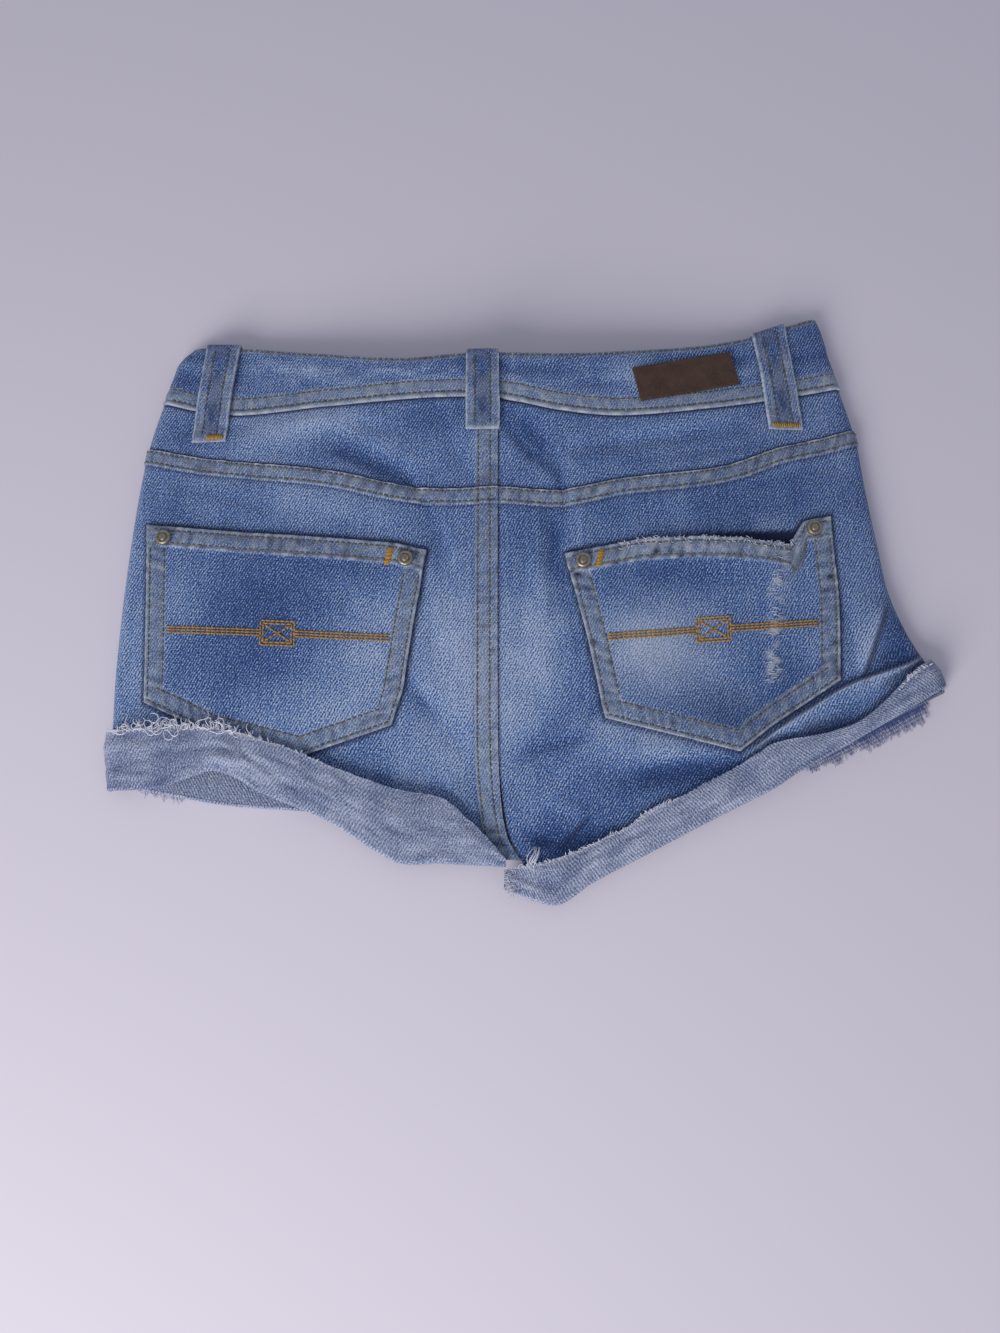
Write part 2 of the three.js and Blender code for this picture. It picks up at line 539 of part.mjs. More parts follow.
/** The back waistband, round from one side seam to the other. */
function addBackBand() {
  const band = planPiece({
    below: waistSeam, above: waistTop, outer: sideLeft, inner: sideRight, belowGap: HALF_SEAM,
  });
  const half = columnsFromSide(4, 18);
  const columns = [
    ...half.map((column) => (length) => column(length / 2) / 2),
    ...half.slice(0, -1).reverse().map((column) => (length) => 1 - column(length / 2) / 2),
  ];
  const wallOfBand = panelWall(band, 'back', columns, even(0, 1, 4), BAND, () => BAND_RISE);
  addPiece('waistband_back', wallOfBand, COLOURS.denim);
}

/**
 * A cuff: a wall whose section starts level with the leg panel's edge, turns back through a half
 * circle at the fold line and lies over the leg up to its raw edge.
 */
function addCuff(name, layer, plan, stand, columns, columnCount) {
  const outer = [];
  const inner = [];
  for (const column of columns) {
    const u = column(plan.length(0.2));
    const width = plan.height(u);
    const middle = plan.plan(u, 0.5);
    const twice = layer === 'back' && middle.x < CENTRE_X
      ? DOUBLE_ROLL.extra * smooth((middle.x - DOUBLE_ROLL.from) / (DOUBLE_ROLL.to - DOUBLE_ROLL.from)) : 0;
    const outerRadius = (DENIM + stand.inside + DENIM + twice) / 2;
    const innerRadius = stand.inside / 2;
    const bend = steps(0, Math.PI, 5);
    const section = [
      ...bend.map((angle) => ({
        s: stand.start - outerRadius * Math.sin(angle),
        lift: outerRadius - DENIM - outerRadius * Math.cos(angle),
        si: stand.start - innerRadius * Math.sin(angle),
        liftIn: innerRadius * (1 - Math.cos(angle)),
      })),
      ...steps(0, 1, columnCount).slice(1).map((t) => {
        const s = mix(stand.start, width, t);
        const off = mix(stand.inside, stand.inEdge, smooth(t * 1.3));
        const puff = (layer === 'back' ? 0.5 : 0) * Math.sin(Math.PI * t);
        return { s, lift: off + DENIM + twice + puff, si: s, liftIn: off };
      }),
    ];
    const place = (s, lift) => {
      const at = plan.plan(u, s / width);
      const { point, normal } = facePoint(layer, at.x, at.y);
      return point.addScaledVector(normal, lift);
    };
    outer.push(section.map(({ s, lift }) => place(s, lift)));
    inner.push(section.map(({ si, liftIn }) => place(si, liftIn)));
  }
  addPiece(name, wall(outer, inner), COLOURS.wrongSide);
}

function addCuffs({ side, outer, gap, hem, cuffTop, frontHem, cuffEnd }) {
  const back = planPiece({
    below: through(hem, 'x', 'y'), above: through(cuffTop, 'x', 'y'), outer, inner: () => cuffEnd,
  });
  addCuff(`cuff_back_${side}`, 'back', back, BACK_CUFF, columnsFromSide(3, 19), 3);
  const frontTop = (x) => frontHem(x) + FRONT_CUFF.width;
  const front = planPiece({ below: frontHem, above: frontTop, outer, inner: () => FLY_X, innerGap: gap });
  addCuff(`cuff_front_${side}`, 'front', front, FRONT_CUFF, columnsFromSide(3, 12), 1);
}

/** A patch pocket: moved out from the panel under it, with a folded hem at its mouth. */
function addPocket(side) {
  const { mouth, bottom, leftEdge, rightEdge, tipX, gape, gapeFrom, gapeTo } = POCKETS[side];
  const plan = planPiece({
    below: straight(bottom, 'x', 'y'), above: straight(mouth, 'x', 'y'),
    outer: straight(leftEdge, 'y', 'x'), inner: straight(rightEdge, 'y', 'x'),
  });
  const tip = (tipX - bottom[0].x) / (bottom.at(-1).x - bottom[0].x);
  const columns = [...even(0, tip, 7), ...even(tip, 1, 7).slice(1)];
  const rows = [
    ...steps(0, 1, 9).slice(0, -1).map((t) => (u) => t * (1 - (POCKET_HEM + 1) / plan.height(u))),
    (u) => 1 - (POCKET_HEM + 1) / plan.height(u),
    (u) => 1 - POCKET_HEM / plan.height(u),
    () => 1,
  ];
  const rise = (u, v, at) => {
    const hemmed = (1 - v) * plan.height(u) < POCKET_HEM + 0.05 ? POCKET_HEM_RISE : 0;
    const open = Math.sin(Math.PI * clamp((at.x - gapeFrom) / (gapeTo - gapeFrom)));
    return LAY_GAP + DENIM + hemmed + gape * open * smooth(1 - (1 - v) * plan.height(u) / GAPE_DEPTH);
  };
  addPiece(`back_pocket_${side}`, panelWall(plan, 'back', columns, rows, DENIM, rise), COLOURS.denim);
}

/** Turns a geometry that stands on z = 0 so that it stands on a face of the body instead. */
function seatOn(geometry, layer, x, y, lift) {
  const { point, normal } = facePoint(layer, x, y);
  geometry.applyQuaternion(new THREE.Quaternion().setFromUnitVectors(new THREE.Vector3(0, 0, 1), normal));
  point.addScaledVector(normal, lift);
  return geometry.translate(point.x, point.y, point.z);
}

/** A round piece turned from a profile of [radius, height] corners. */
function turned(profile, sides) {
  const points = profile.map(([radius, height]) => new THREE.Vector2(radius, height));
  const lathe = new THREE.LatheGeometry(points, sides);
  lathe.deleteAttribute('normal');
  lathe.deleteAttribute('uv');
  return facingOut(mergeVertices(lathe.rotateX(Math.PI / 2), 1e-4));
}

function addRivets() {
  const { radius, height, crown, dimple } = RIVET;
  const profile = [
    [0, 0], [radius, 0], [radius, height * 0.5], [radius * 0.75, height], [radius * 0.45, height * 0.8],
    [dimple, crown], [0, crown],
  ];
  let number = 0;
  for (const pocket of Object.values(POCKETS)) {
    for (const { x, y } of pocket.rivets) {
      number += 1;
      const lift = LAY_GAP + DENIM + POCKET_HEM_RISE + 2 * HALF_SEAM + 0.1;
      addPiece(`rivet_${number}`, seatOn(turned(profile, 12), 'back', x, y, lift), COLOURS.metal, 0.4, 0.8);
    }
  }
}

/** A belt loop: over the band's top edge, then down its face to the yoke, standing a little off it. */
function addLoop({ name, topX, bottomX, bottomY, width, over }) {
  const topY = waistTop(topX);
  const path = [
    { y: topY + LOOP_OVER, lift: -1.2, yOut: topY + LOOP_OVER + LOOP, liftOut: -1.2 },
    { y: topY + LOOP_OVER, lift: BAND_RISE + 0.5, yOut: topY + LOOP_OVER + LOOP, liftOut: BAND_RISE + 1 },
    { y: topY - 2, lift: BAND_RISE + 0.6, yOut: topY - 0.5, liftOut: BAND_RISE + 0.6 + LOOP },
  ];
  for (const t of steps(0, 1, 9).slice(1)) {
    const y = mix(topY - 2, bottomY, t);
    const bow = LOOP_BOW * Math.sin(Math.PI * clamp(t * 1.05)) ** 2;
    const lift = mix(BAND_RISE + 0.6, over + 0.5, smooth(t * 1.1)) + bow;
    path.push({ y, lift, yOut: y, liftOut: lift + LOOP });
  }
  const outer = [];
  const inner = [];
  for (const share of steps(-0.5, 0.5, 3)) {
    const place = (y, lift) => {
      const x = mix(topX, bottomX, (topY - y) / (topY - bottomY)) + share * width;
      const lean = (waistTop(x) - topY) * clamp(1 - (topY - y) / 20);
      const { point, normal } = facePoint('back', x, y + lean);
      return point.addScaledVector(normal, lift);
    };
    outer.push(path.map(({ yOut, liftOut }) => place(yOut, liftOut)));
    inner.push(path.map(({ y, lift }) => place(y, lift)));
  }
  addPiece(`belt_loop_${name}`, wall(outer, inner), COLOURS.denim);
}

/** The bare leather patch on the band. */
function addPatch() {
  const turn = THREE.MathUtils.degToRad(PATCH.angle);
  const grid = (lift) => steps(-0.5, 0.5, 3).map((across) => steps(-0.5, 0.5, 7).map((along) => {
    const a = along * PATCH.length;
    const b = across * PATCH.width;
    const x = PATCH.x + a * Math.cos(turn) - b * Math.sin(turn);
    const y = PATCH.y + a * Math.sin(turn) + b * Math.cos(turn);
    const { point, normal } = facePoint('back', x, y);
    return point.addScaledVector(normal, lift);
  }));
  const under = BAND_RISE + LAY_GAP;
  addPiece('waist_patch', wall(grid(under + LEATHER), grid(under)), COLOURS.leather, 0.6);
}

/** The button under the front waistband and the zip's tape inside the fly. */
function addFastening() {
  const { radius, rim, neck, lift } = BUTTON;
  const top = lift - 0.3;
  const profile = [
    [0, 0], [radius - 0.8, 0], [radius, 0.8], [radius, rim], [neck, rim], [neck, top], [0, top],
  ];
  addPiece('waistband_button', turned(profile, 20).translate(BUTTON.x, BUTTON.y, 0), COLOURS.metal, 0.4, 0.8);
  const start = frontWaistSeam(FLY_X) - 4;
  const grid = (liftIn) => steps(0, 1, 8).map((v) => steps(-0.5, 0.5, 2).map((share) => {
    const { point, normal } = facePoint('front', FLY_X + share * ZIP.width, start - v * ZIP.length);
    return point.addScaledVector(normal, -liftIn);
  }));
  addPiece('fly_zip', wall(grid(DENIM + LAY_GAP), grid(DENIM + LAY_GAP + ZIP.thick)), COLOURS.metal, 0.8);
}

/** Joins closed geometries into one. */
function joined(geometries) {
  const solids = geometries.map((geometry) => {
    const plain = geometry.clone();
    plain.deleteAttribute('normal');
    const merged = mergeVertices(plain, 1e-4);
    return new wasm.Manifold(new wasm.Mesh({
      numProp: 3,
      vertProperties: new Float32Array(merged.attributes.position.array),
      triVerts: new Uint32Array(merged.index.array),
    }));
  });
  const mesh = solids.reduce((sum, solid) => sum.add(solid)).getMesh();
  const geometry = new THREE.BufferGeometry();
  geometry.setAttribute('position', new THREE.BufferAttribute(new Float32Array(mesh.vertProperties), 3));
  geometry.setIndex([...mesh.triVerts]);
  return geometry;
}

/** A three-sided thread along a path of points, thinning to its tip. */
function thread(path, radius, up) {
  const position = [];
  const last = path.length - 1;
  path.slice(0, last).forEach((point, i) => {
    const along = path[i + 1].clone().sub(path[Math.max(i - 1, 0)]).normalize();
    const side = along.clone().cross(up).normalize();
    const over = side.clone().cross(along);
    for (let k = 0; k < 3; k += 1) {
      const angle = (k * 2 * Math.PI) / 3;
      const ring = point.clone().addScaledVector(side, radius * (1 - i * 0.25) * Math.cos(angle));
      position.push(...ring.addScaledVector(over, radius * (1 - i * 0.25) * Math.sin(angle)).toArray());
    }
  });
  position.push(...path[last].toArray());
  const index = [0, 2, 1];
  for (let i = 0; i < last - 1; i += 1) {
    for (let k = 0; k < 3; k += 1) {
      const [a, b] = [3 * i + k, 3 * i + ((k + 1) % 3)];
      index.push(a, b, b + 3, a, b + 3, a + 3);
    }
  }
  const ring = 3 * (last - 1);
  for (let k = 0; k < 3; k += 1) index.push(ring + k, ring + ((k + 1) % 3), 3 * last);
  const geometry = new THREE.BufferGeometry();
  geometry.setAttribute('position', new THREE.Float32BufferAttribute(position, 3));
  geometry.setIndex(index);
  return facingOut(geometry);
}

/** Even random numbers from 0 to 1 that come out the same each time. */
function randomFrom(seed) {
  let state = seed;
  return () => {
    state = (state * 1664525 + 1013904223) % 4294967296;
    return state / 4294967296;
  };
}

/** Frayed threads beside a raw edge, fused into a narrow strip that lies along it. */
function addFringe({ name, layer, line, away, from, to, lift, count, short, long, spread, end }, seed) {
  const edge = through(line, 'x', 'y');
  const random = randomFrom(seed + 7);
  const frame = (x) => {
    const { point, normal } = facePoint(layer, x, edge(x));
    const flat = new THREE.Vector3(1, edge(x + 0.5) - edge(x - 0.5), 0);
    const along = flat.addScaledVector(normal, -flat.dot(normal)).normalize();
    const out = new THREE.Vector3(0, 0, 1).cross(along).normalize().multiplyScalar(away);
    return { point, normal, along, out };
  };
  const place = (x, reach, off) => {
    const { point, normal, out } = frame(x);
    return point.addScaledVector(out, reach).addScaledVector(normal, off);
  };
  const stripEdge = layer === 'back' ? STRIP.gap : STRIP.gap + 0.2;
  const grid = (off) => [stripEdge, stripEdge + STRIP.width].map(
    (reach) => steps(from, to, Math.ceil((to - from) / 6)).map((x) => place(x, reach, off)),
  );
  const pieces = [wall(grid(lift + STRIP.thick / 2), grid(lift - STRIP.thick / 2))];
  for (let i = 0; i < count; i += 1) {
    const x = mix(from + 0.8, to - 0.8, (i + 0.15 + 0.7 * random()) / count);
    const { normal, along, out } = frame(x);
    const length = mix(short, long, random());
    const angle = spread * (2 * random() - 1);
    const bend = angle + spread * (random() - 0.5);
    const root = place(x, stripEdge + STRIP.width / 2, lift);
    const step = (start, heading, reach, off) => start.clone()
      .addScaledVector(out, Math.cos(heading) * reach)
      .addScaledVector(along, Math.sin(heading) * reach)
      .addScaledVector(normal, off);
    const middle = step(root, angle, length * 0.5, end * (0.4 + 0.6 * random()));
    const tip = step(middle, bend, length * 0.5, end * (random() - 0.4) * 0.8);
    pieces.push(thread([root, middle, tip], THREAD_RADIUS * (0.75 + 0.35 * random()), normal));
  }
  addPiece(`fringe_${name}`, joined(pieces), COLOURS.thread);
}

for (const row of SIDES) {
  addBackPanel(row);
  addYoke(row);
  addFront(row);
  addCuffs(row);
  addPocket(row.side);
}
addBackBand();
addRivets();
LOOPS.forEach(addLoop);
addPatch();
addFastening();
FRINGES.forEach(addFringe);

export default group;
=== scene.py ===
"""Denim cut-off shorts with rolled, frayed cuffs, lying face down on a pale sheet.

The garment's form is worked out in millimetres, from the same tables of named lines and folds as the
solids, and every mesh is turned to metres as it is made. X runs across the hips, Y towards the waist
and Z up from the sheet. Left and right are those of the picture.
"""

import logging
import math
from dataclasses import dataclass, field
from enum import Enum
from typing import Callable, Sequence

import bpy
import numpy as np
from mathutils import Matrix, Vector


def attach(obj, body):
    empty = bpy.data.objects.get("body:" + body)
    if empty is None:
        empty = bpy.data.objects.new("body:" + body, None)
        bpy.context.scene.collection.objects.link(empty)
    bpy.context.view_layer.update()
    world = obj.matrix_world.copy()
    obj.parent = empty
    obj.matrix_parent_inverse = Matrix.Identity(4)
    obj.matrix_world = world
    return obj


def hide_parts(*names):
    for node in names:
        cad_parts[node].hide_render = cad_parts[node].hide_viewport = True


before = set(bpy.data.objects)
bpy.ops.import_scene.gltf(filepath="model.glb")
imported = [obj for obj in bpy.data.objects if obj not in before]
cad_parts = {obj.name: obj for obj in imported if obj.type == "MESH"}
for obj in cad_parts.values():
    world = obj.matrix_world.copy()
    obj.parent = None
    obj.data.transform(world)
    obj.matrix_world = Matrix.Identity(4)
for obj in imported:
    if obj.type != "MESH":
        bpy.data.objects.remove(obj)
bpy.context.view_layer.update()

log = logging.getLogger("shorts")
MM = 0.001
Rows = Sequence[tuple[float, float]]
Surface = Callable[[np.ndarray, np.ndarray, float | np.ndarray], tuple[np.ndarray, np.ndarray]]

# Cloth and seams, in millimetres
DENIM = 1.2
BAND = 2.4
LOOP = 1.8
LEATHER = 1.4
HALF_SEAM = 0.15
LAY_GAP = 0.5
CROTCH_EASE = 3.0
FELL_RISE = 0.8
YOKE_FELL = 8.5
CENTRE_FELL = 11.5
SIDE_SEAM_Z = 4.0
CENTRE_X = -16.0
FLY_X = -14.0
FRONT_CUFF_WIDTH = 20.0
BUTTON_X, BUTTON_Y = -25.0, 77.0
BUTTON_LIFT = 3.2
HEM_LIFT = 1.6
SIDE_TURN = 5.5
BAND_RISE = 0.6
POCKET_HEM_RISE = 0.7

# Outlines and seams. Side outlines are (y, x); lines across the garment are (x, y).
SIDE_LEFT = ((165, -180), (146, -187), (138, -194.5), (118, -201.5), (80, -210.5), (20, -216), (-40, -218),
             (-70, -217.3), (-110, -214.8))
SIDE_RIGHT = ((165, 165), (119, 176), (89, 183), (60, 186), (28, 190), (0, 194), (-20, 201), (-34, 208),
              (-50, 217.2), (-70, 220.5))
CENTRE_SEAM = ((140, -16), (-60, -16), (-100, -15), (-128, -11), (-142, -4), (-156, -2))
WAIST_TOP = ((-188, 144), (-160, 143), (-126, 138), (-70, 131.5), (-31, 133.5), (18, 133.5), (51, 136),
             (96, 142), (125, 149), (149, 158), (165, 163))
WAIST_SEAM = ((-204, 110), (-181, 104), (-158, 101), (-108, 104), (-50, 107), (-15, 106), (18, 99.5),
              (51, 97.5), (95, 103), (141, 111.5), (176, 119))
YOKE_SEAM = ((-211, 83), (-180, 76), (-151, 72), (-107, 66.5), (-69, 58), (-42, 55.5), (-16, 56.5), (18, 55),
             (50, 61.5), (105, 69.5), (139, 82), (162, 88), (183, 95))
HEM_LEFT = ((-220, -105), (-190, -103.5), (-175, -98.5), (-162, -94.5), (-150, -98), (-138, -105),
            (-102, -120), (-68, -140), (-45, -141), (-14, -142.5), (-2, -143))
HEM_RIGHT = ((-13, -154.3), (13.5, -162), (31, -151.5), (59, -137.2), (86, -123.3), (109, -112),
             (126, -103.4), (137, -96.2), (165, -81), (192, -65.8), (221, -48.8))
CUFF_TOP_LEFT = ((-221, -76), (-197, -73), (-163, -74), (-123, -84), (-102, -93), (-66, -105), (-43, -110),
                 (-30, -121), (-14, -137.5))
CUFF_TOP_RIGHT = ((-13, -145), (15, -139.5), (31, -133), (51, -123), (61.5, -115.5), (88, -103.5), (105, -94),
                  (117, -85), (129, -80), (152, -76.2), (170, -70), (185, -58), (200, -43.5), (213, -35))
ROLL_TOP_RIGHT = ((-13, -138), (46, -118), (87, -100), (108, -88.5), (130, -73), (147, -62), (165, -51.5),
                  (187, -43.5), (201, -38.3), (212, -31.5))
FRONT_WAIST_TOP = ((-188, 144), (-150, 128), (-100, 109), (-50, 98), (-14, 95), (22, 98), (70, 111),
                   (120, 134), (165, 163))
FRONT_WAIST_SEAM = ((-204, 110), (-160, 93), (-100, 73), (-50, 62), (-14, 59), (22, 61), (80, 77),
                    (130, 97), (176, 119))
FRONT_HEM_LEFT = ((-219, -102), (-196, -105.5), (-154, -112.5), (-97, -117.5), (-55, -130), (-15, -136))
FRONT_HEM_RIGHT = ((-13, -136), (13, -147), (40, -139), (90, -116), (130, -96), (167, -79), (200, -63),
                   (220, -53))

# Height of the back above the sheet, (y, height): at the centre seam, half way out and beside the side seam.
HEIGHT_CENTRE = ((170, 24), (105, 23), (60, 19), (0, 15.5), (-60, 12), (-110, 8.5), (-165, 6.8))
HEIGHT_HALF = ((170, 17.5), (105, 17.5), (60, 16.5), (0, 15), (-60, 12), (-110, 8.5), (-165, 6.8))
HEIGHT_SIDE = ((170, 9.5), (105, 9.5), (60, 10), (0, 9.5), (-60, 8.5), (-110, 7), (-165, 6.6))

# The main folds: from (x1, y1) to (x2, y2), width, and rise above the cloth, or below it.
FOLDS = (
    (-108, 84, -58, 58, 12, -2.2), (-152, 86, -112, 95, 10, 1.3), (-10, 100, 16, 74, 10, -2.4),
    (24, 79, 118, 92, 10, -2.2), (-52, 46, -44, 14, 10, -1.5), (12, 46, 17, -5, 9, -1.8),
    (-60, -58, -38, -80, 11, -1.4), (26, -58, -2, -88, 9, -1.6), (50, -100, 104, -93, 9, -2.2),
    (34, -82, 76, -86, 10, 1.2), (4, -131, 28, -129, 7, -2.4), (190, -8, 176, -36, 7, 2.2),
    (-142, -85, -164, -93, 7, 1.0), (196, -30, 184, -40, 7, -1.4),
)
# Finer creases, in the same columns.
CREASES = (
    (-104, 80, -64, 60, 4.5, -1.7), (-100, 90, -60, 69, 7, 1.0), (-64, 62, -50, 40, 5, -1.3),
    (-96, 96, -66, 86, 5, -0.7), (-60, 60, -42, 30, 6, 0.7), (-48, 98, -34, 62, 7, -0.8),
    (-12, 92, 2, 75, 4, -1.5), (2, 75, 17, 64, 4, -1.8), (17, 64, 20, 44, 4.2, -1.6),
    (20, 44, 13, 14, 4, -1.0), (14, 36, 27, -32, 3.6, -1.0), (26, 58, 31, 24, 6, 0.9),
    (8, 88, 26, 68, 6, 1.0), (28, 84, 96, 97, 5, 0.7), (56, 72, 124, 83, 5, -0.8),
    (-150, 94, -70, 98, 6, 0.6), (-190, 92, -150, 96, 6, -0.8), (-128, 52, -70, 40, 6, 0.5),
    (-192, 60, -140, 46, 5, -0.5), (-46, -10, -34, -44, 8, 0.6), (2, -20, 14, -56, 7, 0.6),
    (37, -59, 26, -78, 4.2, -1.4), (26, -78, 0, -85, 4.2, -1.3), (44, -70, 20, -94, 5, 0.9),
    (56, -95, 100, -90, 5, -1.0), (62, -84, 100, -88, 5, 0.8), (30, -124, 50, -128, 6, -1.1),
    (14, -112, 34, -118, 5, 0.8), (-2, -126, 20, -136, 4, -1.1), (1, -132, 2, -143, 2.4, 1.2),
    (168, -4, 171, -44, 4, -1.0), (178, 74, 186, 30, 6, -0.5), (-206, 40, -210, -40, 6, -0.4),
    (-180, -66, -150, -74, 6, -0.8), (-36, -70, -24, -112, 7, -0.8), (-44, -96, -28, -116, 5, 0.8),
    (126, -74, 150, -66, 5, 0.6), (-60, 20, -50, -30, 4, -0.7), (-62, -50, -48, -66, 5, -1.2),
    (6, 20, 10, -20, 5, 0.7), (-44, 40, -36, 8, 5, 0.7), (120, 60, 168, 72, 6, -0.6),
    (176, 100, 182, 70, 5, -0.7), (58, -4, 40, -40, 6, -0.4), (-2, 28, -4, -40, 5, -0.5),
)
# Cloth that laps over itself: it stands up on the left of the way from (x1, y1) to (x2, y2) and falls off
# over its width.
LAPS = (
    (171, -54, 192, 0, 10, 2.4), (178, -53, 212, -33, 7, 1.6), (12, -137, 32, -115, 7, 1.5),
    (-62, 60, -104, 82, 9, 0.9), (18, 64, 2, 76, 7, 0.9),
)
ROLL_RISE = 4.0
ROLL_CRISP = 1.9
ROLL_START_X = 104.0
ROLL_FULL_X = 128.0


def mix(low: float, high: float, share: np.ndarray | float) -> np.ndarray:
    """Returns the value at a share of the way from low to high."""
    return low + (high - low) * share


def smooth(share: np.ndarray | float) -> np.ndarray:
    """Returns an S-curve from 0 to 1 over shares 0 to 1, flat outside them."""
    held = np.clip(share, 0, 1)
    return held * held * (3 - 2 * held)


def bump(away: np.ndarray | float, width: float) -> np.ndarray:
    """Returns a soft bump: 1 where away is 0, nearly 0 from about width on."""
    return np.exp(-((away / width) ** 2) * 2.2)


def uneven(x: np.ndarray, y: np.ndarray, size: float, seed: int) -> np.ndarray:
    """Makes soft random hills that come out the same each run.

    Args:
        x: places across, in millimetres.
        y: places up, in millimetres.
        size: the usual width of a hill.
        seed: a whole number that picks the pattern.

    Returns:
        Values from -1 to 1.
    """
    gx, gy = np.broadcast_arrays(np.asarray(x, float) / size, np.asarray(y, float) / size)
    ix, iy = np.floor(gx).astype(np.int64), np.floor(gy).astype(np.int64)
    fx, fy = smooth(gx - ix), smooth(gy - iy)

    def knot(a: int, b: int) -> np.ndarray:
        """Returns the value at a corner of the lattice.

        Args:
            a: the knot's column.
            b: the knot's row.

        Returns:
            The value, from -1 to 1.
        """
        mixed = ((ix + a) * 374761393 + (iy + b) * 668265263 + seed * 974634777) & 0xFFFFFFFF
        mixed = ((mixed ^ (mixed >> 13)) * 1274126177) & 0xFFFFFFFF
        return ((mixed ^ (mixed >> 16)) & 0xFFFF) / 32767.5 - 1

    return mix(mix(knot(0, 0), knot(1, 0), fx), mix(knot(0, 1), knot(1, 1), fx), fy)


class Line:
    """A smooth line through a table of (place, value) rows, carried on straight past its ends."""

    def __init__(self, rows: Rows) -> None:
        """Sorts the rows and works out each one's slope from its neighbours.

        Args:
            rows: pairs of a place and the line's value there.
        """
        table = np.array(sorted(rows), float)
        self.at, self.value = table[:, 0], table[:, 1]
        numbers = np.arange(len(table))
        before, after = np.maximum(numbers - 1, 0), np.minimum(numbers + 1, len(table) - 1)
        self.slope = (self.value[after] - self.value[before]) / (self.at[after] - self.at[before])

    def __call__(self, where: np.ndarray | float) -> np.ndarray:
        """Returns the line's value at each place.

        Args:
            where: places along the line, in millimetres.

        Returns:
            One value for each place.
        """
        where = np.asarray(where, float)
        i = np.clip(np.searchsorted(self.at, where, side="right") - 1, 0, len(self.at) - 2)
        span = self.at[i + 1] - self.at[i]
        t = (where - self.at[i]) / span
        inside = ((1 + 2 * t) * (1 - t) ** 2 * self.value[i] + t * (1 - t) ** 2 * span * self.slope[i]
                  + t * t * (3 - 2 * t) * self.value[i + 1] + t * t * (t - 1) * span * self.slope[i + 1])
        low = self.value[0] + self.slope[0] * (where - self.at[0])
        high = self.value[-1] + self.slope[-1] * (where - self.at[-1])
        return np.where(where <= self.at[0], low, np.where(where >= self.at[-1], high, inside))

    def slant(self, where: np.ndarray | float) -> np.ndarray:
        """Returns how much longer the line is than its run, at each place."""
        return np.hypot(1, self(where + 0.5) - self(where - 0.5))


class Outline(Line):
    """A line with corners: straight between its rows and past its ends."""

    def __call__(self, where: np.ndarray | float) -> np.ndarray:
        """Returns the outline's value at each place.

        Args:
            where: places along the line, in millimetres.

        Returns:
            One value for each place.
        """
        where = np.asarray(where, float)
        i = np.clip(np.searchsorted(self.at, where, side="right") - 1, 0, len(self.at) - 2)
        return mix(self.value[i], self.value[i + 1], (where - self.at[i]) / (self.at[i + 1] - self.at[i]))


def upright(x: float) -> Outline:
    """Returns a straight edge that runs up the garment at x."""
    return Outline(((-300, x), (300, x)))


def beside(line: Line, at: np.ndarray, away: float) -> np.ndarray:
    """Returns a path that keeps its distance below a line, or above it where away is negative."""
    return np.stack([at, line(at) - away * line.slant(at)], -1)


class Layer(Enum):
    """Which half of the garment a piece belongs to: the back on top or the front beneath."""

    BACK = 1
    FRONT = -1


